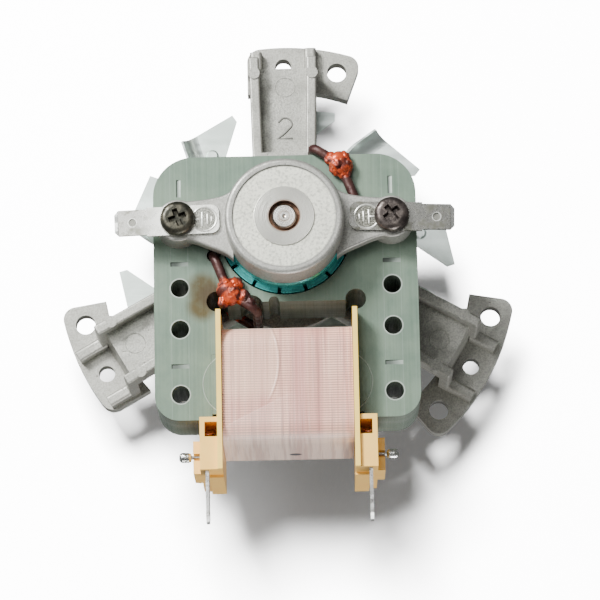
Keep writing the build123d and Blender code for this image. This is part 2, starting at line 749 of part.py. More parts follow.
# Bridge screws, from the earth tabs down into the bracket
head_z = strap_z1 + earth_t
for side, turn, name in ((-1, screw_turn_left, "left"), (1, screw_turn_right, "right")):
    with BuildPart() as bridge_screw:
        with BuildSketch(Plane.XY.offset(head_z)):
            with Locations((side * screw_x, screw_y)):
                Circle(screw_head_r)
        extrude(amount=screw_head_h)
        fillet(bridge_screw.edges().group_by(Axis.Z)[-1], screw_head_round)
        with BuildSketch(Plane.XY.offset(head_z)):
            with Locations((side * screw_x, screw_y)):
                Circle(screw_r)
        extrude(amount=stack_z0 - screw_thread_l - head_z)
        with BuildSketch(Plane.XY.offset(head_z + screw_head_h)):
            with Locations((side * screw_x, screw_y)):
                Rectangle(screw_recess_l, screw_recess_w, rotation=turn)
                Rectangle(screw_recess_w, screw_recess_l, rotation=turn)
        extrude(amount=-screw_recess_depth, mode=Mode.SUBTRACT, taper=12)
    save(bridge_screw, f"bridge_screw_{name}")

# Bearings: a ball with a bore, held by a felt ring and a retainer, at both ends of the stack
with BuildPart() as ball_bearing:
    with Locations((0, 0, bearing_z)):
        Sphere(bearing_r)
        Box(4 * bearing_r, 4 * bearing_r, 2 * bearing_half_l, mode=Mode.INTERSECT)
        Cylinder(shaft_r + running_fit, 4 * bearing_r, mode=Mode.SUBTRACT)

with BuildPart() as felt:
    with BuildSketch(Plane.XY.offset(cup_rim + felt_inset)):
        Circle(cup_in_r - felt_fit)
        Circle(felt_in_r, mode=Mode.SUBTRACT)
    extrude(amount=cup_depth - cup_floor_t - seat_h - felt_inset)

with BuildPart() as retainer:
    with BuildSketch(Plane.XY.offset(cup_rim + retainer_inset)):
        Circle(cup_in_r - retainer_fit)
        Circle(retainer_in_r, mode=Mode.SUBTRACT)
    extrude(amount=retainer_t)

# Spacer and thrust washer between the rotor and a bearing
with BuildPart() as spacer:
    with BuildSketch(Plane.XY.offset(rotor_z1)):
        Circle(spacer_r)
        Circle(shaft_r, mode=Mode.SUBTRACT)
    extrude(amount=bearing_z - bearing_half_l - end_play - washer_t - rotor_z1)

with BuildPart() as thrust_washer:
    with BuildSketch(Plane.XY.offset(bearing_z - bearing_half_l - end_play - washer_t)):
        Circle(washer_r)
        Circle(shaft_r, mode=Mode.SUBTRACT)
    extrude(amount=washer_t)

for kind, name in ((ball_bearing, "bearing"), (felt, "felt_ring"), (retainer, "retainer"),
                   (spacer, "spacer"), (thrust_washer, "thrust_washer")):
    with BuildPart() as rear_piece:
        add(kind.part)
    save(rear_piece, f"rear_{name}")
    with BuildPart() as front_piece:
        mirror(kind.part, about=Plane.XY.offset(stack_mid_z))
    save(front_piece, f"front_{name}")

# Shaft, turned down with a flat for the oven's hot air wheel, and a circlip groove
with BuildPart() as shaft:
    with BuildSketch(Plane.XY.offset(shaft_end_l - shaft_front)):
        Circle(shaft_r)
    extrude(amount=shaft_front - shaft_end_l + cup_face - shaft_rear_drop)
    chamfer(shaft.edges().filter_by(GeomType.CIRCLE), shaft_chamfer)
    with BuildSketch(Plane.XY.offset(-shaft_front)):
        Circle(shaft_end_r)
    extrude(amount=shaft_end_l)
    chamfer(shaft.edges().group_by(Axis.Z)[0], shaft_chamfer)
    with BuildSketch(Plane.XY.offset(-shaft_front)):
        with Locations((0, shaft_end_r)):
            Rectangle(4 * shaft_r, 2 * shaft_flat_depth)
    extrude(amount=shaft_end_l, mode=Mode.SUBTRACT)
    with BuildSketch(Plane.XY.offset(fan_bush_top)):
        Circle(2 * shaft_r)
        Circle(circlip_groove_r, mode=Mode.SUBTRACT)
    extrude(amount=circlip_t, mode=Mode.SUBTRACT)
save(shaft, "shaft")

# Rotor stack, with open slots for the cage's bars
with BuildPart() as rotor_stack:
    with BuildSketch(Plane.XY.offset(rotor_z0)):
        Circle(rotor_r)
        Circle(shaft_r, mode=Mode.SUBTRACT)
        with PolarLocations(cage_bar_circle_r, cage_bars):
            Circle(cage_bar_r, mode=Mode.SUBTRACT)
        with PolarLocations(rotor_r, cage_bars):
            Rectangle(2 * (rotor_r - cage_bar_circle_r), rotor_slot_w, mode=Mode.SUBTRACT)
    extrude(amount=rotor_z1 - rotor_z0)
save(rotor_stack, "rotor_stack")

# Rotor cage: bars and two end rings in one casting
with BuildPart() as rotor_cage:
    for height, way in ((rotor_z1, 1), (rotor_z0, -1)):
        with BuildSketch(Plane.XY.offset(height)):
            Circle(cage_ring_r)
            Circle(cage_ring_r - cage_ring_w, mode=Mode.SUBTRACT)
        extrude(amount=way * cage_ring_h)
    chamfer(rotor_cage.faces().sort_by(Axis.Z)[-1].edges(), cage_ring_edge)
    chamfer(rotor_cage.faces().sort_by(Axis.Z)[0].edges(), cage_ring_edge)
    with BuildSketch(Plane.XY.offset(rotor_z0)):
        with PolarLocations(cage_bar_circle_r, cage_bars):
            Circle(cage_bar_r)
    extrude(amount=rotor_z1 - rotor_z0)
save(rotor_cage, "rotor_cage")

# Cooling fan: one blade with its turned-up lip, then ten of them round a disc
lip_plan_w = lip_r * sin(radians(lip_bend)) + lip_run * cos(radians(lip_bend))
lip_tip = Vector(*polar(fan_r - lip_tip_drop, fan_start + lip_tip_angle))
lip_root = Vector(*polar(fan_r - lip_root_drop, fan_start + lip_root_angle))
lip_way = (lip_tip - lip_root).normalized()
lip_out = Vector(-lip_way.Y, lip_way.X, 0)
bend_tip = lip_tip - lip_out * lip_plan_w + lip_way
bend_end = lip_root - lip_out * lip_plan_w - lip_way * (blade_l - lip_root_drop)
tip_low = Vector(*polar(fan_r, fan_start + blade_corner_angle))
tip_edge = (lip_tip - tip_low).normalized()
tip_out = Vector(tip_edge.Y, -tip_edge.X, 0)
with BuildPart() as blade:
    # Lip: a bend along the trailing edge, then a short straight
    lip_plane = Plane(origin=(bend_end.X, bend_end.Y, fan_z + fan_t / 2),
                      x_dir=lip_out, z_dir=lip_way)
    with BuildSketch(lip_plane):
        with BuildLine():
            bend = CenterArc((0, lip_r), lip_r, -90, lip_bend)
            Line(bend @ 1, bend @ 1 + (bend % 1) * lip_run)
        trace(line_width=fan_t)
    extrude(amount=(bend_tip - bend_end).length)
    # It rises from nothing at the hub to its full height towards the tip
    lip_slope = Vector(-lip_way.X * lip_rise, -lip_way.Y * lip_rise, 1)
    split(bisect_by=Plane(origin=(bend_end.X, bend_end.Y, fan_z + fan_t), z_dir=lip_slope),
          keep=Keep.BOTTOM)
    with BuildSketch(Plane.XY.offset(fan_z)):
        Polygon(
            polar(fan_hub_r - blade_lap, fan_start + blade_root_angle),
            polar(fan_r - blade_lead_drop, fan_start + blade_lead_angle),
            polar(fan_r - blade_corner_drop, fan_start),
            (tip_low.X, tip_low.Y),
            (bend_tip.X, bend_tip.Y),
            (bend_end.X, bend_end.Y),
            align=None,
        )
    extrude(amount=fan_t)
    # Blade and lip end on one straight line across the tip
    split(bisect_by=Plane(origin=(lip_tip.X, lip_tip.Y, 0), z_dir=tip_out), keep=Keep.BOTTOM)
    # Dimple, pressed up from the far side
    dimple_at = polar(fan_r - dimple_drop, fan_start + dimple_angle)
    with BuildSketch(Plane(origin=(*dimple_at, fan_z + fan_t))):
        Circle(dimple_foot_r)
    extrude(amount=dimple_h, taper=40)

with BuildPart() as cooling_fan:
    with BuildSketch(Plane.XY.offset(fan_z)):
        Circle(fan_hub_r)
    extrude(amount=fan_t)
    with PolarLocations(0, fan_blades):
        add(blade.part)
    with BuildSketch(Plane.XY.offset(fan_z)):
        Circle(fan_spigot_r)
    extrude(amount=fan_t, mode=Mode.SUBTRACT)
save(cooling_fan, "cooling_fan")

# Bush that carries the cooling fan, riveted over on its far side
with BuildPart() as fan_bush:
    with BuildSketch(Plane.XY.offset(fan_z + fan_t)):
        Circle(fan_bush_r)
    extrude(amount=fan_bush_top - fan_z - fan_t)
    with BuildSketch(Plane.XY.offset(fan_z)):
        Circle(fan_spigot_r)
    extrude(amount=fan_t)
    with BuildSketch(Plane.XY.offset(fan_z)):
        Circle(fan_rivet_r)
    extrude(amount=-fan_rivet_h, taper=20)
    with BuildSketch(Plane.XY.offset(fan_bush_top)):
        Circle(shaft_r)
    extrude(amount=-2 * fan_bush_top, mode=Mode.SUBTRACT)
save(fan_bush, "fan_bush")

# Circlip in the shaft's groove, behind the bush
with BuildPart() as circlip:
    with BuildSketch(Plane.XY.offset(fan_bush_top)):
        Circle(circlip_r)
        Circle(circlip_groove_r, mode=Mode.SUBTRACT)
        with Locations((circlip_r / 2, 0)):
            Rectangle(circlip_r * 2, circlip_mouth, align=(Align.MIN, Align.CENTER),
                      mode=Mode.SUBTRACT)
    extrude(amount=circlip_t)
save(circlip, "circlip")
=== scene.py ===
# %% [markdown]
# # Oven fan motor
# A small motor that turns the hot air wheel of an oven. It is seen from its back: a cast
# bracket with three arms, a square stack of steel plates with a taped coil, a bearing bridge
# across the middle and a thin cooling fan behind it all. The solids come from the CAD model.
# This script gives them their real finishes and adds the small things that CAD leaves out:
# cast marks, soldered wire ends, brazing and stamped signs. Everything is in metres.

# %% Load the solids
from math import cos, pi, radians, sin

import bpy
from mathutils import Matrix, Vector


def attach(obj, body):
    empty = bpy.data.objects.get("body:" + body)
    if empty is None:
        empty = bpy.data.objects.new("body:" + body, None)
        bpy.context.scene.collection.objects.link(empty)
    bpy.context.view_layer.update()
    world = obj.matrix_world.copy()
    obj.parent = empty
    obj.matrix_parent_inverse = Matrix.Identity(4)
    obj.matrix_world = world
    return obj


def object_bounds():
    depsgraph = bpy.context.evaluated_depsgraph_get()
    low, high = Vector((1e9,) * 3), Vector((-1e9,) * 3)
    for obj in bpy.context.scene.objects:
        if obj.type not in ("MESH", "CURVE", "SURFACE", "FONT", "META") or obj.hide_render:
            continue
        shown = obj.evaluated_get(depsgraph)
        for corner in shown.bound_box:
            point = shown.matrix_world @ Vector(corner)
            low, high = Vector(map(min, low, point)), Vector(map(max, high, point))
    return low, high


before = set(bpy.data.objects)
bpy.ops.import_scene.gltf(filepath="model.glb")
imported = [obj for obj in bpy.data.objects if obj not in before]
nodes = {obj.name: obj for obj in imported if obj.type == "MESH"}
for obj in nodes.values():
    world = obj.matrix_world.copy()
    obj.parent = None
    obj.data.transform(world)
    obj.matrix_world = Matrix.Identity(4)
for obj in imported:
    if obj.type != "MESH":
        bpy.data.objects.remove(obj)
cad_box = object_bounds()
MM = 0.001
print("loaded", len(nodes), "solids, box", cad_box)

# %% [markdown]
# ## Camera
# The picture was taken from almost straight behind the motor, along its shaft, with a long
# lens. The camera looks at a point on the stator's rear face and is turned a little, which
# is written out here as a direction, a distance and a roll.

# %% Camera
look_at = Vector((3.361, -17.775, 45.5)) * MM
distance = 0.82266
elevation, azimuth, roll = radians(77.469), radians(1.189), radians(-2.357)
towards_camera = Vector((sin(azimuth) * cos(elevation), -cos(azimuth) * cos(elevation),
                         sin(elevation)))
flat_right = Vector((0, 0, 1)).cross(towards_camera).normalized()
flat_up = towards_camera.cross(flat_right)
camera_right = cos(roll) * flat_right + sin(roll) * flat_up
camera_up = -sin(roll) * flat_right + cos(roll) * flat_up

bpy.ops.object.camera_add()
camera = bpy.context.object
camera.name = "camera"
camera.data.lens = 202.16
camera.data.sensor_width = 36.0
turn = Matrix((camera_right, camera_up, towards_camera)).transposed()
camera.matrix_world = Matrix.Translation(look_at + distance * towards_camera) @ turn.to_4x4()
bpy.context.scene.camera = camera
print("camera at", tuple(round(v, 4) for v in camera.location))

# %% [markdown]
# ## Floor
# The motor stands on the end of its shaft over white paper. A curved sheet would hide its own
# far edge, but from this height a flat one is enough.

# %% Floor
floor_z = cad_box[0][2] - 0.0002
bpy.ops.mesh.primitive_plane_add(size=6.0, location=(0, 0, 0))
floor = bpy.context.object
floor.name = "floor"
bpy.ops.object.mode_set(mode="EDIT")
bpy.ops.mesh.select_all(action="SELECT")
bpy.ops.transform.translate(value=(0, 0, floor_z))
bpy.ops.object.mode_set(mode="OBJECT")
print("floor at", round(floor_z, 4))

# %% [markdown]
# ## Lights
# The motor's key light comes from above the far left side. The paper has a lamp of its own, almost
# overhead, which keeps it white and throws the short grey shadow below the motor. A large soft
# lamp shines on both. A weak lamp in front stands for the light that the paper throws back onto
# the sides, and a pale room fills everything in. Light linking decides what each lamp shines on,
# because one lamp can't light white paper and pale metal alike.

# %% Lights
def soft_light(name, place, aim, size, power, tint=(1.0, 1.0, 1.0)):
    """A square studio lamp at place, turned to shine at aim."""
    bpy.ops.object.light_add(type="AREA", location=place)
    lamp = bpy.context.object
    lamp.name = name
    lamp.data.size = size
    lamp.data.energy = power
    lamp.data.color = tint
    lamp.rotation_euler = (Vector(aim) - Vector(place)).to_track_quat("-Z", "Y").to_euler()
    return lamp


key_light = soft_light("key_light", (-0.72, 0.66, 0.98), (0, -0.01, 0.02), 0.34, 46.0)
soft_light("overhead_light", (-0.55, 0.36, 1.42), (0, 0, 0.03), 0.9, 13.0)
front_light = soft_light("front_light", (0.14, -0.62, 0.03), (0, -0.04, 0.03), 0.34, 5.0)
paper_light = soft_light("paper_light", (-0.15, 0.26, 1.18), (0, -0.03, -0.02), 0.34, 235.0)
# One lamp shines on the paper alone, and two on all but the paper
paper_only = bpy.data.collections.new("paper_only")
paper_only.objects.link(floor)
paper_light.light_linking.receiver_collection = paper_only
all_but_paper = bpy.data.collections.new("all_but_paper")
all_but_paper.objects.link(floor)
all_but_paper.collection_objects[0].light_linking.link_state = "EXCLUDE"
for lamp in (key_light, front_light):
    lamp.light_linking.receiver_collection = all_but_paper
# The bright paper is seen, but neither lights the metal nor mirrors in it
floor.visible_diffuse = False
floor.visible_glossy = False
room = bpy.data.worlds.new("pale_room")
bpy.context.scene.world = room
room.use_nodes = True
room.node_tree.nodes["Background"].inputs["Color"].default_value = (1.0, 1.0, 1.0, 1.0)
room.node_tree.nodes["Background"].inputs["Strength"].default_value = 0.24

# %% [markdown]
# ## Shader groups
# Most finishes here are mixtures of a few effects: a patchy colour, the skin of a casting,
# the rings a lathe leaves, the edges of stacked plates. Each effect is one node group with
# named sockets. It is built once, and every material places it with its own values.

# %% Group helper
def start_group(name, inputs, outputs):
    """An empty shader group; inputs are (name, kind, value) and outputs (name, kind)."""
    group = bpy.data.node_groups.new(name, "ShaderNodeTree")
    for label, kind, value in inputs:
        socket = group.interface.new_socket(name=label, in_out="INPUT",
                                            socket_type="NodeSocket" + kind)
        if value is not None:
            socket.default_value = value
    for label, kind in outputs:
        group.interface.new_socket(name=label, in_out="OUTPUT", socket_type="NodeSocket" + kind)
    return group, group.nodes.new("NodeGroupInput"), group.nodes.new("NodeGroupOutput")


print("helper: start_group")

# %% [markdown]
# ## Single nodes
# A node added by hand takes a menu, a few fields and a few wires. These helpers do the same in
# one line each, so that a finish can be read as a recipe. Where a value may also come from
# another node, the helper links it.

# %% Number helpers
def math_node(tree, operation, first, second=None):
    """One Math node; each value is a number or a socket."""
    node = tree.nodes.new("ShaderNodeMath")
    node.operation = operation
    for slot, value in enumerate((first, second)):
        if isinstance(value, (int, float)):
            node.inputs[slot].default_value = value
        elif value is not None:
            tree.links.new(value, node.inputs[slot])
    return node.outputs[0]


def times(tree, first, second):
    """Two values multiplied, such as a mask and its strength."""
    return math_node(tree, "MULTIPLY", first, second)


def plus(tree, first, second):
    """Two values added."""
    return math_node(tree, "ADD", first, second)


def noise_node(tree, vector, scale, detail=4.0, roughness=0.55):
    """A Noise texture; scale is a number or a socket."""
    node = tree.nodes.new("ShaderNodeTexNoise")
    tree.links.new(vector, node.inputs["Vector"])
    node.inputs["Detail"].default_value = detail
    node.inputs["Roughness"].default_value = roughness
    if isinstance(scale, (int, float)):
        node.inputs["Scale"].default_value = scale
    else:
        tree.links.new(scale, node.inputs["Scale"])
    return node.outputs["Fac"]


def range_node(tree, value, low, high, to_low=0.0, to_high=1.0):
    """Maps low to high onto to_low to to_high, held at both ends."""
    node = tree.nodes.new("ShaderNodeMapRange")
    node.interpolation_type = "SMOOTHSTEP"
    tree.links.new(value, node.inputs["Value"])
    for label, limit in (("From Min", low), ("From Max", high), ("To Min", to_low),
                         ("To Max", to_high)):
        if isinstance(limit, (int, float)):
            node.inputs[label].default_value = limit
        else:
            tree.links.new(limit, node.inputs[label])
    return node.outputs["Result"]


print("helpers: math_node, times, plus, noise_node, range_node")

# %% [markdown]
# ## Colours and vectors
# Two colours are blended by a mask, and a place in space is taken apart into X, Y and Z. Nearly
# every mark on this motor is such a blend, with a mask that comes from the place.

# %% Colour and vector helpers
def mix_node(tree, mask, first, second):
    """Blends two colours by a mask; each colour is a tuple or a socket."""
    node = tree.nodes.new("ShaderNodeMix")
    node.data_type = "RGBA"
    tree.links.new(mask, node.inputs["Factor"])
    for label, value in ((6, first), (7, second)):
        if isinstance(value, tuple):
            node.inputs[label].default_value = (*value, 1.0)
        else:
            tree.links.new(value, node.inputs[label])
    return node.outputs[2]


def split_vector(tree, vector):
    """The X, Y and Z of a vector, as sockets."""
    node = tree.nodes.new("ShaderNodeSeparateXYZ")
    tree.links.new(vector, node.inputs[0])
    return node.outputs


def vector_node(tree, operation, first, second=None):
    """One Vector Math node; the second value is a tuple or a socket. Gives all its outputs."""
    node = tree.nodes.new("ShaderNodeVectorMath")
    node.operation = operation
    tree.links.new(first, node.inputs[0])
    if isinstance(second, tuple):
        node.inputs[1].default_value = second
    elif second is not None:
        tree.links.new(second, node.inputs[1])
    return node.outputs


print("helpers: mix_node, split_vector, vector_node")

# %% [markdown]
# ## Patchy colour
# Hardly any real surface has one even colour: varnish pools, tin dulls and castings stain. An image
# could show that, but it would have to be fitted to every piece. A noise that mixes two near
# colours does it anywhere, and its mask also goes out, so that roughness can follow the same
# patches.

# %% Patchy colour
patchy, patchy_in, patchy_out = start_group(
    "patchy_colour",
    (("Vector", "Vector", None), ("Scale", "Float", 60.0), ("Low", "Float", 0.4),
     ("High", "Float", 0.62), ("Main", "Color", (0.5, 0.5, 0.5, 1.0)),
     ("Patch", "Color", (0.4, 0.4, 0.4, 1.0))),
    (("Colour", "Color"), ("Mask", "Float")),
)
cloud = noise_node(patchy, patchy_in.outputs["Vector"], patchy_in.outputs["Scale"], 6.0, 0.6)
cloud_mask = range_node(patchy, cloud, patchy_in.outputs["Low"], patchy_in.outputs["High"])
patchy.links.new(mix_node(patchy, cloud_mask, patchy_in.outputs["Main"], patchy_in.outputs["Patch"]),
                 patchy_out.inputs["Colour"])
patchy.links.new(cloud_mask, patchy_out.inputs["Mask"])
print("group", patchy.name)

# %% [markdown]
# ## Cast skin
# Metal that was cast in a steel mould has a fine sandy grain, slow waves where it cooled, and a few
# tiny pits. Modelling them would take millions of faces. Three noises of different sizes are added
# up to one height, and the pits and the sand also come out as masks that darken the colour.

# %% Cast skin
skin, skin_in, skin_out = start_group(
    "cast_skin", (("Vector", "Vector", None), ("Grain", "Float", 1.0), ("Flow", "Float", 1.0)),
    (("Height", "Float"), ("Pits", "Float"), ("Sand", "Float")),
)
fine_grain = noise_node(skin, skin_in.outputs["Vector"], 2300.0, 3.0, 0.65)
skin.links.new(range_node(skin, fine_grain, 0.40, 0.62), skin_out.inputs["Sand"])
slow_flow = noise_node(skin, skin_in.outputs["Vector"], 160.0, 3.0, 0.5)
pit_cells = noise_node(skin, skin_in.outputs["Vector"], 900.0, 2.0, 0.5)
pits = range_node(skin, pit_cells, 0.72, 0.78)
grain_part = times(skin, fine_grain, skin_in.outputs["Grain"])
flow_part = times(skin, slow_flow, skin_in.outputs["Flow"])
skin_height = math_node(skin, "SUBTRACT", plus(skin, grain_part, flow_part), pits)
skin.links.new(skin_height, skin_out.inputs["Height"])
skin.links.new(pits, skin_out.inputs["Pits"])
print("group", skin.name)

# %% [markdown]
# ## Lathe rings
# A lathe tool leaves fine rings round the axis. The shaft lies on the Z axis here, so the distance
# from that axis is enough: a one-way noise of the distance gives rings of uneven strength, which a
# Wave texture would make too regular.

# %% Lathe rings
rings, rings_in, rings_out = start_group(
    "lathe_rings", (("Vector", "Vector", None), ("Per Metre", "Float", 3000.0)),
    (("Height", "Float"),),
)
ring_split = split_vector(rings, rings_in.outputs["Vector"])
ring_square = plus(rings, math_node(rings, "POWER", ring_split["X"], 2.0),
                   math_node(rings, "POWER", ring_split["Y"], 2.0))
ring_radius = math_node(rings, "SQRT", ring_square)
ring_line = rings.nodes.new("ShaderNodeCombineXYZ")
rings.links.new(times(rings, ring_radius, rings_in.outputs["Per Metre"]), ring_line.inputs["X"])
rings.links.new(noise_node(rings, ring_line.outputs[0], 1.0, 2.0, 0.7), rings_out.inputs["Height"])
print("group", rings.name)

# %% [markdown]
# ## Plate edges
# The stator is a pile of thin steel plates, and their edges show on its sides as fine lines. Each
# plate could be a solid, but the height divided by the plate's thickness gives the same lines for
# nothing: its fraction is the place within a plate, and its whole part gives every plate a tone of
# its own.

# %% Plate edges
plates, plates_in, plates_out = start_group(
    "plate_edges", (("Vector", "Vector", None), ("Thickness", "Float", 0.0005)),
    (("Line", "Float"), ("Tone", "Float"), ("Height", "Float")),
)
plate_split = split_vector(plates, plates_in.outputs["Vector"])
plate_count = math_node(plates, "DIVIDE", plate_split["Z"], plates_in.outputs["Thickness"])
plate_phase = math_node(plates, "FRACT", plate_count)
from_middle = math_node(plates, "ABSOLUTE", math_node(plates, "SUBTRACT", plate_phase, 0.5))
plate_line = range_node(plates, from_middle, 0.30, 0.46)
plate_noise = plates.nodes.new("ShaderNodeTexWhiteNoise")
plate_noise.noise_dimensions = "1D"
plates.links.new(math_node(plates, "FLOOR", plate_count), plate_noise.inputs["W"])
# The lines show on upright sides only, where the face's normal is level
plate_geometry = plates.nodes.new("ShaderNodeNewGeometry")
plate_normal = split_vector(plates, plate_geometry.outputs["True Normal"])
upright = range_node(plates, math_node(plates, "ABSOLUTE", plate_normal["Z"]), 0.2, 0.6, 1.0, 0.0)
plates.links.new(times(plates, plate_line, upright), plates_out.inputs["Line"])
plates.links.new(times(plates, plate_noise.outputs["Value"], upright), plates_out.inputs["Tone"])
sunk_line = times(plates, plate_line, times(plates, upright, -1.0))
plates.links.new(sunk_line, plates_out.inputs["Height"])
print("group", plates.name)

# %% [markdown]
# ## Round marks
# Many marks on this motor are round: burrs round holes, the turned face, oil round the shaft. A
# disc with a soft edge covers them all. The group measures the level distance from a centre and
# puts out the disc and the band along its edge.

# %% Round marks
spot, spot_in, spot_out = start_group(
    "round_mark",
    (("Vector", "Vector", None), ("Centre", "Vector", (0.0, 0.0, 0.0)), ("Inner", "Float", 0.001),
     ("Outer", "Float", 0.0012)),
    (("Inside", "Float"), ("Rim", "Float")),
)
spot_offset = vector_node(spot, "SUBTRACT", spot_in.outputs["Vector"], spot_in.outputs["Centre"])
spot_flat = vector_node(spot, "MULTIPLY", spot_offset["Vector"], (1.0, 1.0, 0.0))
spot_length = vector_node(spot, "LENGTH", spot_flat["Vector"])
spot_far = range_node(spot, spot_length["Value"], spot_in.outputs["Inner"], spot_in.outputs["Outer"])
spot_near = math_node(spot, "SUBTRACT", 1.0, spot_far)
spot.links.new(spot_near, spot_out.inputs["Inside"])
# The rim is the soft band between the inner and the outer radius
spot_band = times(spot, times(spot, spot_far, spot_near), 4.0)
spot.links.new(spot_band, spot_out.inputs["Rim"])
print("group", spot.name)

# %% [markdown]
# ## Brush lines
# Rolled sheet, drawn wire and brushed varnish all have a grain that runs one way. A noise whose
# coordinates are scaled far more across the grain than along it turns into such streaks, and every
# finish chooses the direction with one vector.

# %% Brush lines
brush, brush_in, brush_out = start_group(
    "brush_lines",
    (("Vector", "Vector", None), ("Across", "Vector", (2500.0, 40.0, 40.0)), ("Low", "Float", 0.35),
     ("High", "Float", 0.65)),
    (("Mask", "Float"),),
)
brush_scaled = vector_node(brush, "MULTIPLY", brush_in.outputs["Vector"], brush_in.outputs["Across"])
brush_noise = noise_node(brush, brush_scaled["Vector"], 1.0, 3.0, 0.6)
brush.links.new(range_node(brush, brush_noise, brush_in.outputs["Low"], brush_in.outputs["High"]),
                brush_out.inputs["Mask"])
print("group", brush.name)

# %% [markdown]
# ## Threads of the tape
# The coil is wrapped in tape with fine threads. Real threads would be thousands of thin tubes, so a
# sine wave of one pitch stands for them. It follows Y on the level faces and Z on the upright ones,
# because the threads run round the coil.

# %% Woven tape
weave, weave_in, weave_out = start_group(
    "woven_tape", (("Vector", "Vector", None), ("Pitch", "Float", 0.00062)), (("Line", "Float"),),
)
weave_split = split_vector(weave, weave_in.outputs["Vector"])
weave_geometry = weave.nodes.new("ShaderNodeNewGeometry")
weave_normal = split_vector(weave, weave_geometry.outputs["Normal"])
lies_flat = range_node(weave, math_node(weave, "ABSOLUTE", weave_normal["Z"]), 0.6, 0.8)


def weave_wave(along):
    """A sine wave of the tape's pitch along a coordinate."""
    turns = times(weave, math_node(weave, "DIVIDE", along, weave_in.outputs["Pitch"]), 2 * pi)
    return math_node(weave, "SINE", turns)


flat_wave = times(weave, weave_wave(weave_split["Y"]), lies_flat)
side_wave = times(weave, weave_wave(weave_split["Z"]), math_node(weave, "SUBTRACT", 1.0, lies_flat))
weave.links.new(plus(weave, flat_wave, side_wave), weave_out.inputs["Line"])
print("group", weave.name)

# %% [markdown]
# ## Finishes
# A finish starts from an empty material with one shader. The helper gives that shader its
# plain values, and each finish then adds its own nodes for colour, roughness and bumps.

# %% Material helpers
def start_finish(name, metallic=0.0, roughness=0.5):
    """A new material: (material, its node tree, the shader, the Object coordinates)."""
    finish = bpy.data.materials.new(name)
    finish.use_nodes = True
    tree = finish.node_tree
    tree.nodes.clear()
    shader = tree.nodes.new("ShaderNodeBsdfPrincipled")
    surface = tree.nodes.new("ShaderNodeOutputMaterial")
    tree.links.new(shader.outputs["BSDF"], surface.inputs["Surface"])
    shader.inputs["Metallic"].default_value = metallic
    shader.inputs["Roughness"].default_value = roughness
    place = tree.nodes.new("ShaderNodeTexCoord").outputs["Object"]
    return finish, tree, shader, place


def place_group(tree, group, vector, **values):
    """Places a group in a material; an underscore in a value's name stands for a space."""
    node = tree.nodes.new("ShaderNodeGroup")
    node.node_tree = group
    tree.links.new(vector, node.inputs["Vector"])
    for label, value in values.items():
        socket = node.inputs[label.replace("_", " ")]
        socket.default_value = (*value, 1.0) if socket.type == "RGBA" else value
    return node


def add_bump(tree, shader, height, strength, distance):
    """Turns a height into small bumps on the shader."""
    bump = tree.nodes.new("ShaderNodeBump")
    bump.inputs["Strength"].default_value = strength
    bump.inputs["Distance"].default_value = distance
    tree.links.new(height, bump.inputs["Height"])
    tree.links.new(bump.outputs["Normal"], shader.inputs["Normal"])


def vary_roughness(tree, shader, mask, low, high):
    """Lets a mask take the roughness from low to high."""
    tree.links.new(range_node(tree, mask, 0.0, 1.0, low, high), shader.inputs["Roughness"])


def dress(finish, *names):
    """Puts a finish on CAD solids."""
    for name in names:
        for slot in nodes[name].material_slots:
            slot.material = finish
    print(finish.name, "on", ", ".join(names))


print("helpers: start_finish, place_group, add_bump, vary_roughness, dress")

# %% [markdown]
# ## Cast aluminium
# The bracket with its three arms is one die casting. It is pale grey, a little warm, and darker in
# its grain and pits. It is only half metallic in the shader, because the rough oxide skin on cast
# metal scatters the light like paint does. The helper also serves the bridge, which comes from the
# same kind of mould.

# %% Cast aluminium
def cast_metal(name, main, patch, roughness):
    """Die cast metal: pale, a little patchy and finely sanded. Gives a colour and a height."""
    finish, tree, shader, place = start_finish(name, 0.55, roughness)
    colour = place_group(tree, patchy, place, Scale=140.0, Low=0.35, High=0.7, Main=main, Patch=patch)
    surface = place_group(tree, skin, place, Grain=1.1, Flow=0.8)
    sand = times(tree, surface.outputs["Sand"], 0.42)
    sanded = mix_node(tree, sand, colour.outputs["Colour"], tuple(0.45 * v for v in patch))
    pitted = mix_node(tree, surface.outputs["Pits"], sanded, tuple(0.5 * v for v in patch))
    vary_roughness(tree, shader, colour.outputs["Mask"], roughness - 0.06, roughness + 0.1)
    return finish, tree, shader, place, pitted, surface.outputs["Height"]


bracket_skin, tree, shader, place, colour, height = cast_metal(
    "cast_bracket_skin", (0.43, 0.43, 0.385), (0.33, 0.33, 0.295), 0.46)
tree.links.new(colour, shader.inputs["Base Color"])
add_bump(tree, shader, height, 0.5, 0.00012)
dress(bracket_skin, "mounting_bracket")

# %% [markdown]
# ## Bridge with its turned face
# The bridge carries the rear bearing. Its round face has been turned on a lathe, so it is brighter
# than the cast skin round it, with a greyer disc in the middle and a stain of oil round the shaft. A
# thin dark line of painted shade lies at the face's edge, where the rim steps down. All of these
# share one centre, so the same round mark is placed four times with different radii.

# %% Bridge with its turned face
finish, tree, shader, place, colour, height = cast_metal(
    "cast_bridge_skin", (0.42, 0.42, 0.385), (0.33, 0.33, 0.30), 0.42)
face = place_group(tree, spot, place, Inner=0.01245, Outer=0.01265)
middle = place_group(tree, spot, place, Inner=0.00720, Outer=0.00735)
oil = place_group(tree, spot, place, Inner=0.0036, Outer=0.0044)
edge_shade = place_group(tree, spot, place, Inner=0.0121, Outer=0.0130)
stipple = place_group(tree, patchy, place, Scale=1500.0, Low=0.42, High=0.70,
                      Main=(0.74, 0.745, 0.64), Patch=(0.42, 0.425, 0.36))
turned = mix_node(tree, face.outputs["Inside"], colour, stipple.outputs["Colour"])
turned = mix_node(tree, middle.outputs["Inside"], turned, (0.385, 0.385, 0.345))
turned = mix_node(tree, oil.outputs["Inside"], turned, (0.20, 0.13, 0.09))
# Painted shade: a thin dark line along the step at the face's edge
turned = mix_node(tree, times(tree, edge_shade.outputs["Rim"], 0.6), turned, (0.15, 0.15, 0.14))
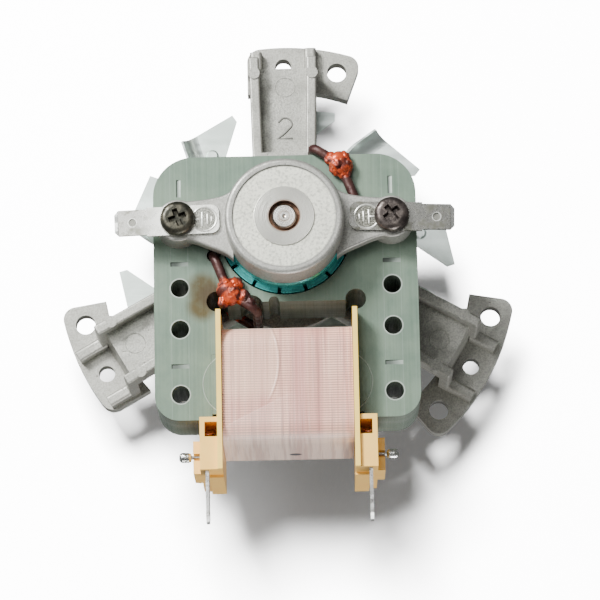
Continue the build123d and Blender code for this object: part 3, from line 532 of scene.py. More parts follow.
tree.links.new(turned, shader.inputs["Base Color"])
lathe = place_group(tree, rings, place, Per_Metre=4200.0)
lathe_part = times(tree, lathe.outputs["Height"], times(tree, middle.outputs["Inside"], 1.6))
add_bump(tree, shader, plus(tree, height, lathe_part), 0.5, 0.00010)
dress(finish, "rear_bridge")

# %% [markdown]
# ## Stator varnish
# The square stack and the core of the coil are steel dipped in a grey-green varnish, which shows
# long faint strokes. The group for the plate edges adds its lines on the sides. Later cells add the
# marks on top to the same colour before it reaches the shader.

# %% Stator plates
finish, tree, shader, place = start_finish("stator_varnish", 0.25, 0.42)
varnish = place_group(tree, patchy, place, Scale=75.0, Low=0.36, High=0.64,
                      Main=(0.150, 0.210, 0.152), Patch=(0.104, 0.158, 0.116))
strokes = place_group(tree, brush, place, Low=0.3, High=0.75, Across=(1800.0, 28.0, 28.0))
face_colour = mix_node(tree, times(tree, strokes.outputs["Mask"], 0.3),
                       varnish.outputs["Colour"], (0.185, 0.240, 0.190))
stack_edges = place_group(tree, plates, place, Thickness=0.0005)
side_colour = mix_node(tree, stack_edges.outputs["Tone"], face_colour, (0.25, 0.29, 0.25))
lined = mix_node(tree, times(tree, stack_edges.outputs["Line"], 0.45), side_colour, (0.06, 0.07, 0.06))
print("varnish and plate edges on", finish.name)

# %% [markdown]
# ## Hole highlights and ruled lines
# A punch leaves a burr round every hole, and a thin bright ring of painted highlight stands for the
# light that its edge catches. Two faint lines run down each column of holes. The columns mirror each
# other, so X loses its sign first and every mark is drawn once.

# %% Hole highlights and ruled lines
hole_column_x = 0.026
pale_edge = (0.46, 0.52, 0.47)
stack_place = split_vector(tree, place)
sideways = math_node(tree, "ABSOLUTE", stack_place["X"])
one_side = tree.nodes.new("ShaderNodeCombineXYZ")
tree.links.new(sideways, one_side.inputs["X"])
tree.links.new(stack_place["Y"], one_side.inputs["Y"])
# Each hole gets a thin bright ring of painted highlight on its burred edge
for hole_y in (-0.0142, -0.0245, -0.0407):
    hole_highlight = place_group(tree, spot, one_side.outputs[0], Inner=0.00215, Outer=0.00255,
                       Centre=(hole_column_x, hole_y, 0.0))
    lined = mix_node(tree, times(tree, hole_highlight.outputs["Rim"], 0.7), lined, (0.50, 0.54, 0.50))
from_column = math_node(tree, "ABSOLUTE", math_node(tree, "SUBTRACT", sideways, hole_column_x))
rule = math_node(tree, "ABSOLUTE", math_node(tree, "SUBTRACT", from_column, 0.0021))
lined = mix_node(tree, range_node(tree, rule, 0.00004, 0.00012, 0.14, 0.0), lined, pale_edge)
print("highlighted_burrs round the holes and two lines down each column")

# %% [markdown]
# ## Burnt varnish and the pressed edge
# The torch that brazed the lower ring has burnt the varnish beside it to an olive brown. Three
# overlapping round marks, broken up by a noise, look less drawn than one. A thin bright edge
# shows where the round ends of the core are pressed into the stack.

# %% Burnt varnish and the pressed edge
burn_cloud = range_node(tree, noise_node(tree, place, 420.0, 4.0, 0.6), 0.35, 0.6, 0.82, 1.0)
for burn_x, burn_y, reach, tint in ((-0.0206, -0.0188, 0.0050, (0.064, 0.047, 0.008)),
                                    (-0.0203, -0.0142, 0.0052, (0.052, 0.037, 0.005)),
                                    (-0.0181, -0.0165, 0.0044, (0.044, 0.028, 0.005))):
    burn = place_group(tree, spot, place, Inner=0.0018, Outer=reach, Centre=(burn_x, burn_y, 0.0))
    lined = mix_node(tree, times(tree, burn.outputs["Inside"], burn_cloud), lined, tint)
lobe = place_group(tree, spot, one_side.outputs[0], Inner=0.00775, Outer=0.00813,
                   Centre=(0.01265, -0.03830, 0.0))
lined = mix_node(tree, times(tree, lobe.outputs["Rim"], 0.45), lined, pale_edge)
tree.links.new(lined, shader.inputs["Base Color"])
vary_roughness(tree, shader, strokes.outputs["Mask"], 0.36, 0.5)
stator_height = plus(tree, times(tree, strokes.outputs["Mask"], 0.25), stack_edges.outputs["Height"])
add_bump(tree, shader, stator_height, 0.5, 0.00008)
dress(finish, "stator_stack", "coil_core")

# %% [markdown]
# ## Cream nylon
# The bobbin and its two terminal housings are moulded from cream nylon, which lets a little light
# through. Real subsurface scattering would be slow, so below the level of the rims the colour turns
# orange instead: painted shade in the pockets and down the lower sides, under a thin glossy coat.

# %% Cream nylon
finish, tree, shader, place = start_finish("cream_nylon", 0.0, 0.38)
cream = place_group(tree, patchy, place, Scale=180.0, Low=0.35, High=0.7, Main=(1.0, 0.71, 0.15),
                    Patch=(1.0, 0.65, 0.12))
# Below the level of the rims the colour turns orange: painted shade in the pockets and on the lower
# sides
pocket_shade = range_node(tree, split_vector(tree, place)["Z"], 0.0512, 0.0524, 0.55, 0.0)
tree.links.new(mix_node(tree, pocket_shade, cream.outputs["Colour"], (0.98, 0.50, 0.12)),
               shader.inputs["Base Color"])
shader.inputs["Coat Weight"].default_value = 0.15
moulded = noise_node(tree, place, 900.0, 2.0, 0.5)
add_bump(tree, shader, moulded, 0.3, 0.00005)
dress(finish, "bobbin")

# %% [markdown]
# ## Tape: threads and bands
# The pink tape has dark threads, lengthwise bands and streaks where its windings lie over each
# other. Each of these is one mask that mixes a darker colour in, one after another, so that each
# can be judged alone.

# %% Woven tape over the coil
finish, tree, shader, place = start_finish("pink_tape", 0.0, 0.42)
thread = place_group(tree, weave, place)
base = place_group(tree, patchy, place, Scale=110.0, Low=0.35, High=0.65, Main=(0.94, 0.56, 0.415),
                   Patch=(0.85, 0.45, 0.335))
bands = place_group(tree, brush, place, Low=0.42, High=0.62, Across=(430.0, 9.0, 9.0))
banded = mix_node(tree, times(tree, bands.outputs["Mask"], 0.7), base.outputs["Colour"],
                  (0.62, 0.27, 0.23))
streaks = place_group(tree, brush, place, Low=0.50, High=0.64, Across=(1300.0, 22.0, 22.0))
streaked = mix_node(tree, times(tree, streaks.outputs["Mask"], 0.75), banded, (0.42, 0.19, 0.17))
thread_mask = range_node(tree, thread.outputs["Line"], -0.1, 0.9, 0.0, 0.9)
threaded = mix_node(tree, thread_mask, streaked, (0.37, 0.22, 0.175))
print("threads, bands and streaks of", finish.name)

# %% [markdown]
# ## Tape: lap, film and pleats
# The loose end of the tape crosses the coil's lower half as a paler layer with a slanting edge.
# Along the front edge the threads fade to bare film, drawn together in pleats whose folds are
# darkened with painted shade. These follow the place on the coil, so they are ranges of X and Y.

# %% Tape: lap, film and pleats
tape_split = split_vector(tree, place)
lap_line = plus(tree, tape_split["Y"], times(tree, tape_split["X"], -0.5))
lap = times(tree, range_node(tree, lap_line, -0.0425, -0.0420, 1.0, 0.0),
            range_node(tree, tape_split["X"], -0.006, 0.004, 1.0, 0.0))
film = range_node(tree, tape_split["Y"], -0.0545, -0.0505, 0.70, 0.0)
paled = mix_node(tree, times(tree, lap, 0.22), threaded, (0.92, 0.68, 0.60))
filmed = mix_node(tree, film, paled, (1.0, 0.88, 0.76))
# Dark stripes of painted shade in the folds of the pleats
pleats = place_group(tree, brush, place, Low=0.48, High=0.60, Across=(620.0, 16.0, 16.0))
pleat_shade = times(tree, pleats.outputs["Mask"],
                   range_node(tree, tape_split["Y"], -0.0500, -0.0400, 0.52, 0.0))
filmed = mix_node(tree, pleat_shade, filmed, (0.48, 0.32, 0.28))
print("lap, film and pleats of", finish.name)

# %% [markdown]
# ## Tape: fold, dark band and upper edge
# The film lies double on the left, and its edge runs down the coil as a soft curve. A round
# mark with its centre beside the coil gives that curve: its disc is the double part and its rim
# the edge, darkened with painted shade along the fold. One band near the middle is pinker, and
# the film ends in a pale upper rim.

# %% Tape: fold, dark band and upper edge
fold = place_group(tree, spot, place, Inner=0.0193, Outer=0.0203, Centre=(-0.0218, -0.0338, 0.0))
fold_fade = range_node(tree, tape_split["Y"], -0.0450, -0.0400)
doubled = times(tree, times(tree, fold.outputs["Inside"], fold_fade), 0.35)
fold_edge = times(tree, times(tree, fold.outputs["Rim"], fold_fade), 0.30)
filmed = mix_node(tree, doubled, filmed, (0.88, 0.61, 0.44))
# Painted shade along the edge of the fold
filmed = mix_node(tree, fold_edge, filmed, (0.50, 0.33, 0.27))
from_band = math_node(tree, "ABSOLUTE", math_node(tree, "SUBTRACT", tape_split["X"], 0.0031))
band_fade = range_node(tree, tape_split["Y"], -0.0480, -0.0320, 0.12, 0.42)
pink_band = times(tree, range_node(tree, from_band, 0.0009, 0.0020, 1.0, 0.0), band_fade)
filmed = mix_node(tree, pink_band, filmed, (0.64, 0.29, 0.26))
rim = range_node(tree, tape_split["Y"], -0.02575, -0.02525, 0.0, 0.55)
filmed = mix_node(tree, rim, filmed, (1.0, 0.90, 0.80))
print("fold, band and rim of", finish.name)

# %% [markdown]
# ## Tape: the small hole and the folds
# The front face has one small round hole in its film, painted as a dark disc of shade. That face
# is upright, so the hole is a round mark drawn in X and Z. The folds are raised a little by the bumps.

# %% Tape: the small hole and the folds
front_place = tree.nodes.new("ShaderNodeCombineXYZ")
tree.links.new(tape_split["X"], front_place.inputs["X"])
tree.links.new(tape_split["Z"], front_place.inputs["Y"])
hole_mark = place_group(tree, spot, front_place.outputs[0], Inner=0.0012, Outer=0.0018,
                        Centre=(0.0015, 0.0318, 0.0))
# The inside of the hole is painted shade
hole_shade = times(tree, hole_mark.outputs["Inside"],
                  range_node(tree, tape_split["Y"], -0.0500, -0.0450, 1.0, 0.0))
tree.links.new(mix_node(tree, hole_shade, filmed, (0.06, 0.06, 0.06)), shader.inputs["Base Color"])
shader.inputs["Coat Weight"].default_value = 0.25
shader.inputs["Coat Roughness"].default_value = 0.25
folds = place_group(tree, brush, place, Low=0.3, High=0.7, Across=(460.0, 14.0, 14.0))
fold_part = times(tree, folds.outputs["Mask"], plus(tree, film, 0.30))
film_height = plus(tree, times(tree, lap, 0.5), times(tree, fold_edge, 4.0))
tape_height = plus(tree, times(tree, thread.outputs["Line"], 0.12),
                   plus(tree, times(tree, fold_part, 3.0), film_height))
add_bump(tree, shader, tape_height, 0.6, 0.00016)
dress(finish, "tape_wrap")

# %% [markdown]
# ## Plain finishes
# The other pieces need no marks of their own: each has two near colours in patches and a fine
# grain that roughens it. One helper makes such a finish from a few numbers, and another lays one
# more colour over it. A metal has its colour in the reflection, so it is nearly all metallic, and
# its roughness decides how far it mirrors the room.

# %% Plain finish helpers
def plain_finish(name, colour, patch, metallic, roughness, scale=200.0, grain=(60.0, 60.0, 60.0),
                 lift=0.2):
    """A patchy colour with a fine directional grain."""
    finish, tree, shader, place = start_finish(name, metallic, roughness)
    cloudy = place_group(tree, patchy, place, Scale=scale, Main=colour, Patch=patch)
    grained = place_group(tree, brush, place, Across=grain)
    tree.links.new(cloudy.outputs["Colour"], shader.inputs["Base Color"])
    vary_roughness(tree, shader, grained.outputs["Mask"], roughness, min(1.0, roughness + 0.14))
    add_bump(tree, shader, plus(tree, grained.outputs["Mask"], cloudy.outputs["Mask"]), lift, 0.00005)
    return finish


def overpaint(finish, mask_maker, colour):
    """Mixes one more colour into a plain finish; mask_maker takes the tree and the coordinates."""
    tree = finish.node_tree
    base = tree.nodes["Principled BSDF"].inputs["Base Color"]
    mask = mask_maker(tree, tree.nodes["Texture Coordinate"].outputs["Object"])
    tree.links.new(mix_node(tree, mask, base.links[0].from_socket, colour), base)
    return finish


print("helpers: plain_finish, overpaint")

# %% [markdown]
# ## Coil, terminals and solder
# The winding is copper in a clear red-brown enamel. The two terminals are tinned sheet, and the
# solder on the pins is bright and lumpy, which a strong grain on a smooth metal shows well.

# %% Coil, terminals and solder
enamel = plain_finish("enamelled_copper", (0.27, 0.10, 0.055), (0.20, 0.075, 0.045), 0.6, 0.3, 400.0,
                      (3300.0, 30.0, 30.0), 0.8)
dress(enamel, "coil_winding")
tinned = plain_finish("tinned_metal", (0.62, 0.62, 0.60), (0.40, 0.40, 0.38), 1.0, 0.26, 420.0,
                      (60.0, 900.0, 60.0), 0.35)
dress(tinned, "terminal_left", "terminal_right")
solder = plain_finish("solder_metal", (0.72, 0.72, 0.70), (0.40, 0.41, 0.36), 1.0, 0.14, 900.0,
                      (500.0, 500.0, 500.0), 0.8)
dress(solder, "solder_joint_left", "solder_joint_right")

# %% [markdown]
# ## Rotor, bearings and small turned parts
# The rotor is coated in a glossy teal lacquer against rust, with darker rings of painted shade round
# its axis for the bands of light and shade on its curved edges.
# The small rings on the shaft are bright spring steel, the bearings are bronze soaked in oil, with
# a felt ring that stores the oil and a washer of hard fibre. Most of these are hidden, but each is
# dressed as its kind is.

# %% Rotor, bearings and small turned parts
teal_lacquer = plain_finish("teal_lacquer", (0.065, 0.500, 0.470), (0.045, 0.380, 0.360), 0.35, 0.16,
                            240.0, (300.0, 300.0, 300.0), 0.5)


def ring_shade(tree, place):
    """Darker rings of painted shade round the axis, for the bands of shade on the rotor's edges."""
    shade_rings = place_group(tree, rings, place, Per_Metre=1700.0)
    return range_node(tree, shade_rings.outputs["Height"], 0.44, 0.60, 0.0, 0.75)


# The darker rings are painted shade
overpaint(teal_lacquer, ring_shade, (0.012, 0.150, 0.165))
dress(teal_lacquer, "rotor_stack", "rotor_cage")
dress(plain_finish("spring_steel", (0.50, 0.50, 0.49), (0.40, 0.40, 0.39), 1.0, 0.28),
      "circlip", "rear_retainer", "front_retainer", "rear_spacer", "front_spacer", "fan_bush")
dress(plain_finish("oiled_bronze", (0.24, 0.13, 0.08), (0.16, 0.085, 0.05), 0.7, 0.38, 700.0,
                   (900.0, 900.0, 900.0), 0.4), "rear_bearing", "front_bearing")
dress(plain_finish("oiled_felt", (0.22, 0.17, 0.11), (0.15, 0.11, 0.07), 0.0, 0.85, 900.0,
                   (2400.0, 2400.0, 2400.0), 1.0), "rear_felt_ring", "front_felt_ring")
dress(plain_finish("hard_fibre", (0.27, 0.13, 0.07), (0.20, 0.10, 0.05), 0.0, 0.55, 600.0,
                   (1500.0, 1500.0, 1500.0), 0.4), "rear_thrust_washer", "front_thrust_washer")

# %% [markdown]
# ## Fan and screws
# The cooling fan is thin plated sheet with a slightly green shine. The screws are steel with a
# dark oxide that is rubbed to grey in places; the right one is browner than the left one, so
# they get a finish each.

# %% Fan and screws
dress(plain_finish("fan_sheet_metal", (0.74, 0.82, 0.78), (0.58, 0.66, 0.61), 0.9, 0.28, 70.0,
                   (40.0, 700.0, 40.0), 0.25), "cooling_fan")
dress(plain_finish("brown_oxide", (0.046, 0.038, 0.035), (0.105, 0.088, 0.078), 0.75, 0.28, 500.0,
                   (700.0, 700.0, 700.0), 0.4), "bridge_screw_right")
dress(plain_finish("black_oxide", (0.028, 0.028, 0.021), (0.078, 0.072, 0.052), 0.75, 0.30, 500.0,
                   (700.0, 700.0, 700.0), 0.4), "bridge_screw_left")

# %% [markdown]
# ## Earth tabs
# Each earth tab is a strip of tinned sheet with a small hole. It is scuffed, and dull and speckled
# where the earth sign is stamped. Painted shade darkens the middle of the hole's round mark, with a
# painted highlight on its rim and on the bevel at the tip. The left tab is painted brighter than the
# right one, which lies in painted shade, and has a painted highlight near its screw, so the helper
# takes a lit level and a highlight strength (shine) as well as the places of the marks.

# %% Earth tabs
sign_y, tab_hole_y = 0.00118, 0.00064


def tab_finish(name, sign_x, hole_x, lit_level, shine):
    """Tinned sheet, dull at the stamped sign, with painted shade and highlight at the hole and painted
    highlights near the screw and on the tip.
    """
    finish, tree, shader, place = start_finish(name, 0.9, 0.3)
    scuffed = place_group(tree, patchy, place, Scale=380.0, Low=0.42, High=0.66,
                          Main=tuple(lit_level * v for v in (0.64, 0.64, 0.59)),
                          Patch=tuple(lit_level * v for v in (0.32, 0.32, 0.26)))
    dull = place_group(tree, spot, place, Inner=0.0027, Outer=0.0030, Centre=(sign_x, sign_y, 0.0))
    speckle = place_group(tree, patchy, place, Scale=2600.0, Low=0.45, High=0.6,
                          Main=(0.10, 0.10, 0.08), Patch=(0.36, 0.36, 0.31))
    outwards = math_node(tree, "ABSOLUTE", split_vector(tree, place)["X"])
    # Painted highlight on the part near the screw, as strong as shine
    near_screw = range_node(tree, outwards, 0.0300, 0.0365, shine, 0.0)
    tin = mix_node(tree, near_screw, scuffed.outputs["Colour"], (0.92, 0.93, 0.86))
    # Painted highlight on the bevel of the tip, which faces the light
    tip_highlight = range_node(tree, outwards, 0.04035, 0.04065, 0.0, 0.9)
    tin = mix_node(tree, tip_highlight, tin, (0.95, 0.97, 0.92))
    # Painted shade inside the hole's round mark and a painted highlight on its rim
    tab_hole_shade_and_highlight = place_group(tree, spot, place, Inner=0.00085, Outer=0.00125,
                       Centre=(hole_x, tab_hole_y, 0.0))
    tin = mix_node(tree, tab_hole_shade_and_highlight.outputs["Inside"], tin, (0.24, 0.24, 0.21))
    tin = mix_node(tree, times(tree, tab_hole_shade_and_highlight.outputs["Rim"], 0.75), tin, (0.92, 0.94, 0.88))
    tin = mix_node(tree, times(tree, dull.outputs["Inside"], 0.85), tin, speckle.outputs["Colour"])
    tree.links.new(tin, shader.inputs["Base Color"])
    vary_roughness(tree, shader, scuffed.outputs["Mask"], 0.24, 0.42)
    stamped = times(tree, speckle.outputs["Mask"], dull.outputs["Inside"])
    add_bump(tree, shader, plus(tree, scuffed.outputs["Mask"], stamped), 0.25, 0.00004)
    return finish


# The right tab has a lower lit level and no highlight: painted as lying in shade
dress(tab_finish("earth_tab_tin_left", -0.01946, -0.037, 0.74, 0.8), "earth_tab_left")
dress(tab_finish("earth_tab_tin_right", 0.0200, 0.037, 0.42, 0.0), "earth_tab_right")

# %% [markdown]
# ## Shaft with its centre mark
# The end of the shaft is turned steel with a tiny hole in its middle, where the lathe held it. The
# hole is a dark round mark that also lowers the bump height, with a ring and fine lathe marks round
# it.

# %% Shaft with its centre mark
finish, tree, shader, place = start_finish("ground_steel", 1.0, 0.24)
ground = place_group(tree, patchy, place, Scale=300.0, Low=0.4, High=0.7, Main=(0.60, 0.585, 0.55),
                     Patch=(0.50, 0.47, 0.42))
centre_dot = place_group(tree, spot, place, Inner=0.00018, Outer=0.00050)
centre_ring = place_group(tree, spot, place, Inner=0.0009, Outer=0.0016)
marked = mix_node(tree, times(tree, centre_dot.outputs["Inside"], 0.8), ground.outputs["Colour"],
                  (0.30, 0.22, 0.15))
marked = mix_node(tree, times(tree, centre_ring.outputs["Rim"], 0.75), marked, (0.36, 0.30, 0.24))
tree.links.new(marked, shader.inputs["Base Color"])
turning = place_group(tree, rings, place, Per_Metre=5000.0)
centre_hole = times(tree, centre_dot.outputs["Inside"], 3.0)
shaft_height = math_node(tree, "SUBTRACT", turning.outputs["Height"], centre_hole)
add_bump(tree, shader, shaft_height, 0.5, 0.00008)
dress(finish, "shaft")

# %% [markdown]
# ## Copper rings
# Two thick copper rings sit in the stator and make the motor start in one direction. They are dark
# with oxide. The heat of brazing has turned them orange red near the joint, so the finish blends
# from one to the other by the distance from the joint.

# %% Copper rings
braze, ash = (0.60, 0.078, 0.022), (0.080, 0.014, 0.009)
red_braze, tree, shader, place = start_finish("red_braze", 0.35, 0.3)
# The lower joint is the upper one turned half round the shaft, so X and Y both change sign
ring_place = split_vector(tree, place)
turned_sign = math_node(tree, "SIGN", ring_place["Y"])
joint_place = tree.nodes.new("ShaderNodeCombineXYZ")
tree.links.new(times(tree, ring_place["X"], turned_sign), joint_place.inputs["X"])
tree.links.new(times(tree, ring_place["Y"], turned_sign), joint_place.inputs["Y"])
near_joint = place_group(tree, spot, joint_place.outputs[0], Inner=0.0031, Outer=0.0044,
                         Centre=(0.0139, 0.0160, 0.0))
oxide = place_group(tree, patchy, place, Scale=350.0, Low=0.4, High=0.65, Main=(0.048, 0.016, 0.015),
                    Patch=(0.080, 0.034, 0.028))
burnt = place_group(tree, patchy, place, Scale=420.0, Low=0.42, High=0.57, Main=braze, Patch=ash)
# Small brighter orange spots are painted glints on the braze
glint = range_node(tree, noise_node(tree, place, 1300.0, 3.0, 0.6), 0.62, 0.74)
glinted = mix_node(tree, times(tree, glint, 0.75), burnt.outputs["Colour"], (0.85, 0.36, 0.16))
tree.links.new(mix_node(tree, near_joint.outputs["Inside"], oxide.outputs["Colour"], glinted),
               shader.inputs["Base Color"])
vary_roughness(tree, shader, burnt.outputs["Mask"], 0.30, 0.5)
crust = plus(tree, noise_node(tree, place, 700.0, 5.0, 0.65), times(tree, burnt.outputs["Mask"], 0.4))
add_bump(tree, shader, crust, 0.5, 0.00022)
dress(red_braze, "shading_ring_lower", "shading_ring_upper")

# %% [markdown]
# ## White paper
# The floor is matt white paper. It is not quite white in the shader, because a surface that
# gives back all of its light looks flat, and its shine is almost off.

# %% White paper
paper, _, shader, _ = start_finish("white_paper", 0.0, 0.95)
shader.inputs["Base Color"].default_value = (0.93, 0.93, 0.93, 1.0)
shader.inputs["Specular IOR Level"].default_value = 0.1
floor.data.materials.append(paper)
print(paper.name, "on the floor")

# %% [markdown]
# ## Small pieces that CAD leaves out
# Each starts as one of Blender's own shapes, is worked in edit mode and by modifiers, and is
# then left at the origin with its place in its mesh, as the CAD solids are. Helpers open and
# close every piece, apply a modifier and join parts. From here on, places are in millimetres.

# %% Piece helpers
def open_piece():
    """Leaves nothing selected, so the next operator works on the new shape alone."""
    if bpy.context.mode != "OBJECT":
        bpy.ops.object.mode_set(mode="OBJECT")
    bpy.ops.object.select_all(action="DESELECT")


def close_piece(name, finish, body="frame"):
    """Applies the place, names and dresses the piece and lets it ride on a body."""
    piece = bpy.context.object
    bpy.ops.object.transform_apply(location=True, rotation=True, scale=True)
    piece.name = name
    piece.data.name = name
    piece.data.materials.clear()
    piece.data.materials.append(finish)
    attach(piece, body)
    print(name, "has", len(piece.data.polygons), "faces")
    return piece


def apply_modifier(kind, **settings):
    """Adds one modifier to the active piece and applies it."""
    bpy.ops.object.modifier_add(type=kind)
    modifier = bpy.context.object.modifiers[-1]
    for label, value in settings.items():
        setattr(modifier, label, value)
    bpy.ops.object.modifier_apply(modifier=modifier.name)


def join_parts(parts):
    """Joins objects into the last of them."""
    for part in parts:
        part.select_set(True)
    bpy.context.view_layer.objects.active = parts[-1]
    bpy.ops.object.join()


print("helpers: open_piece, close_piece, apply_modifier, join_parts")

# %% [markdown]
# ## Brazed joints
# The ends of each copper ring are brazed together in an untidy lump with several humps. A few
# balls are joined and remeshed into one skin, which melts them together as the braze did, and
# a cloudy displacement roughens it. The underside is cut flat where it lies on the plates.

# %% Brazed lumps
lump_underside = 45.58


def brazed_lump(name, humps):
    """Melts balls, each (x, y, z, radius) in millimetres, into one rough lump on the stator."""
    open_piece()
    balls = []
    for x, y, z, radius in humps:
        bpy.ops.mesh.primitive_ico_sphere_add(subdivisions=3, radius=radius * MM,
                                              location=(x * MM, y * MM, z * MM))
        balls.append(bpy.context.object)
    join_parts(balls)
    bpy.ops.object.transform_apply(location=True, rotation=True, scale=True)
    apply_modifier("REMESH", mode="VOXEL", voxel_size=0.16 * MM)
    apply_modifier("SMOOTH", factor=0.7, iterations=24)
    clouds = bpy.data.textures.new(name + "_crust", "CLOUDS")
    clouds.noise_scale = 1.25 * MM
    clouds.noise_depth = 2
    apply_modifier("DISPLACE", texture=clouds, strength=1.1 * MM, mid_level=0.42)
    bpy.ops.object.mode_set(mode="EDIT")
    bpy.ops.mesh.select_all(action="SELECT")
    bpy.ops.mesh.bisect(plane_co=(0, 0, lump_underside * MM), plane_no=(0, 0, 1), use_fill=True,
                        clear_inner=True)
    bpy.ops.mesh.select_all(action="SELECT")
    bpy.ops.mesh.normals_make_consistent(inside=False)
    bpy.ops.object.mode_set(mode="OBJECT")
    bpy.ops.object.shade_smooth()
    close_piece(name, red_braze)


brazed_lump("brazed_lump_lower", (
    (-14.7, -14.2, 47.2, 1.9), (-12.2, -13.8, 47.0, 1.6), (-13.2, -16.2, 47.4, 2.2),
    (-15.3, -18.3, 47.0, 1.5), (-10.4, -16.9, 47.1, 1.6), (-8.9, -18.4, 47.0, 1.4)))
brazed_lump("brazed_lump_upper", (
    (11.6, 17.2, 47.1, 1.7), (14.9, 17.7, 47.0, 1.5), (15.4, 15.6, 47.3, 1.7),
    (13.4, 15.7, 47.5, 2.2), (12.8, 14.3, 47.1, 1.5), (15.1, 13.5, 47.0, 1.5)))

# %% [markdown]
# ## Earth signs
# The inner end of each earth tab is stamped with the earth sign in a ring. The ring is a thin
# torus half sunk in the tab, and the bars and stem are small blocks with bevelled edges. The
# right sign is the left one mirrored.

# %% Earth signs
tab_top = 53.1
line_width = 0.36
sign_metal = plain_finish("stamped_edge_metal", (0.96, 0.97, 0.90), (0.70, 0.71, 0.64), 0.7, 0.3,
                          900.0)


def earth_sign(name, centre_x, centre_y, side):
    """One sign; side is -1 on the left and 1 on the right, where its stem points outwards."""
    open_piece()
    bpy.ops.mesh.primitive_torus_add(
        major_radius=2.95 * MM, minor_radius=0.26 * MM, major_segments=56, minor_segments=8,
        location=(centre_x * MM, centre_y * MM, tab_top * MM))
    parts = [bpy.context.object]
    for x, width, height in ((0.55, line_width, 3.6), (-0.75, line_width, 2.6),
                             (-1.75, line_width, 1.3), (1.45, 1.7, line_width)):
        bar_x = (centre_x + x * side) * MM
        bpy.ops.mesh.primitive_cube_add(size=1.0, location=(bar_x, centre_y * MM, tab_top * MM))
        parts.append(bpy.context.object)
        bpy.ops.object.mode_set(mode="EDIT")
        bpy.ops.transform.resize(value=(width * MM, height * MM, line_width * MM))
        bpy.ops.mesh.bevel(offset=0.1 * MM, segments=2)
        bpy.ops.object.mode_set(mode="OBJECT")
    join_parts(parts)
    bpy.ops.object.shade_smooth_by_angle(angle=radians(40))
    close_piece(name, sign_metal)


earth_sign("earth_sign_left", -19.46, 1.18, -1)
earth_sign("earth_sign_right", 20.0, 1.0, 1)

# %% [markdown]
# ## Ejector rings
# The mould leaves a shallow ring on the floor of each arm, where a pin pushed the casting out.
# It could be cut from the solid, but it stands up by a tenth of a millimetre only. So it is a
# flattened torus, made once and copied round the shaft, each copy with a mesh of its own.

# %% Ejector rings
arm_floor = 17.5
open_piece()
bpy.ops.mesh.primitive_torus_add(major_radius=2.5 * MM, minor_radius=0.13 * MM, major_segments=48,
                                 minor_segments=8, location=(0.4 * MM, 44.3 * MM, arm_floor * MM))
bpy.ops.object.mode_set(mode="EDIT")
bpy.ops.transform.resize(value=(1, 1, 0.6))
bpy.ops.object.mode_set(mode="OBJECT")
bpy.ops.object.shade_smooth()
first_ring = close_piece("ejector_ring_upper", bracket_skin)
for name, turn in (("ejector_ring_left", 120.0), ("ejector_ring_right", 240.0)):
    open_piece()
    first_ring.select_set(True)
    bpy.context.view_layer.objects.active = first_ring
    bpy.ops.object.duplicate(linked=False)
    bpy.context.object.rotation_euler = (0, 0, radians(turn))
    close_piece(name, bracket_skin)

# %% [markdown]
# ## Cast figure
# A casting often carries the number of its place in the mould, here a raised 2 on the upper arm. A
# text object would bring a font's even strokes. The figure was cut into the mould by hand with one
# round cutter, so it is one curve with a round section, made a mesh at the end.

# %% Cast figure
open_piece()
bpy.ops.curve.primitive_bezier_curve_add(location=(0.27 * MM, 33.45 * MM, arm_floor * MM))
figure = bpy.context.object
stroke = figure.data.splines[0]
stroke.bezier_points.add(4)
figure_points = ((-1.75, 1.55), (-0.1, 2.72), (1.75, 1.35), (0.5, -0.75), (-1.85, -2.7), (1.9, -2.7))
for point, (x, y) in zip(stroke.bezier_points, figure_points):
    point.co = (x * MM, y * MM, 0)
    point.handle_left_type = "AUTO"
    point.handle_right_type = "AUTO"
for corner in stroke.bezier_points[-2:]:
    corner.handle_left_type = "VECTOR"
    corner.handle_right_type = "VECTOR"
figure.data.bevel_depth = 0.24 * MM
figure.data.bevel_resolution = 3
figure.data.use_fill_caps = True
bpy.ops.object.convert(target="MESH")
bpy.ops.object.shade_smooth()
# The figure's dark colour is painted shade, for the shadows along its raised edges
figure_shade_finish = plain_finish("cast_figure_shade", (0.20, 0.20, 0.18), (0.15, 0.15, 0.135), 0.5, 0.5)
close_piece("cast_figure", figure_shade_finish)
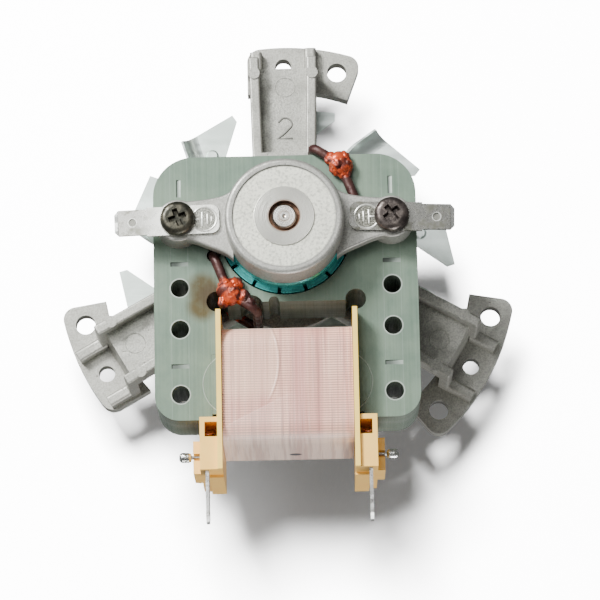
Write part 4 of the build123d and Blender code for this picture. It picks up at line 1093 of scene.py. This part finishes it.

# %% [markdown]
# ## Clinch marks
# The plates are held together by small tongues that a punch pressed into them. The CAD model
# has their slots. A tongue is a block with one side of its top pressed down, so it is a slope
# in its slot: its high side is bright and its low side lies in shade, which the finish deepens
# with painted shade.

# %% Clinch tongues
tongue_length, tongue_width = 4.36, 1.06
open_piece()
tongues = []
for x in (-26.0, 26.0):
    for y, width, height in ((10.9, tongue_width, tongue_length), (-8.2, tongue_length, tongue_width),
                             (-33.7, tongue_length, tongue_width)):
        bpy.ops.mesh.primitive_cube_add(size=1.0, location=(x * MM, y * MM, 45.3 * MM))
        tongue = bpy.context.object
        bpy.ops.object.mode_set(mode="EDIT")
        bpy.ops.transform.resize(value=(width * MM, height * MM, 0.3 * MM))
        bpy.ops.mesh.select_all(action="DESELECT")
        bpy.ops.object.mode_set(mode="OBJECT")
        for corner in tongue.data.vertices:
            corner.select = corner.co.z > 0 and corner.co.x < 0
        bpy.ops.object.mode_set(mode="EDIT")
        bpy.ops.transform.translate(value=(0, 0, -0.28 * MM))
        bpy.ops.object.mode_set(mode="OBJECT")
        tongues.append(tongue)
join_parts(tongues)


def low_side_shade(tree, place):
    """Painted shade on the pressed side of each slope."""
    return range_node(tree, split_vector(tree, place)["Z"], 0.04524, 0.04540, 0.9, 0.0)


punched = plain_finish("punched_steel", (0.26, 0.31, 0.265), (0.18, 0.22, 0.19), 0.3, 0.5)
close_piece("clinch_tongues", overpaint(punched, low_side_shade, (0.045, 0.060, 0.048)))

# %% [markdown]
# ## Wire ends
# The two ends of the winding come up in the bobbin's pockets and show again below the
# housing's edge, where each runs out to its pin and is soldered. A wire is a smooth curve with
# a thin round section.

# %% Wire ends
def wire(name, route, side):
    """A thin wire along a route in millimetres; side mirrors it."""
    open_piece()
    bpy.ops.curve.primitive_nurbs_path_add(location=(0, 0, 0))
    curve = bpy.context.object
    spline = curve.data.splines[0]
    if len(route) > len(spline.points):
        spline.points.add(len(route) - len(spline.points))
    for point, (x, y, z) in zip(spline.points, route):
        point.co = (side * x * MM, y * MM, z * MM, 1.0)
    spline.order_u = 3
    spline.use_endpoint_u = True
    curve.data.bevel_depth = 0.17 * MM
    curve.data.bevel_resolution = 3
    curve.data.use_fill_caps = True
    bpy.ops.object.convert(target="MESH")
    bpy.ops.object.shade_smooth()
    close_piece(name, enamel)


for label, side in (("left", -1), ("right", 1)):
    wire("wire_curl_" + label, (
        (18.3, -50.6, 44.5), (18.3, -50.8, 48.0), (18.7, -51.4, 50.4), (19.4, -51.8, 51.3),
        (20.0, -51.0, 49.5), (19.8, -50.2, 46.5)), side)
    wire("wire_end_" + label, (
        (21.9, -55.3, 38.8), (22.2, -55.2, 40.6), (22.8, -55.5, 42.6), (23.5, -55.9, 44.0),
        (24.2, -56.1, 44.8)), side)
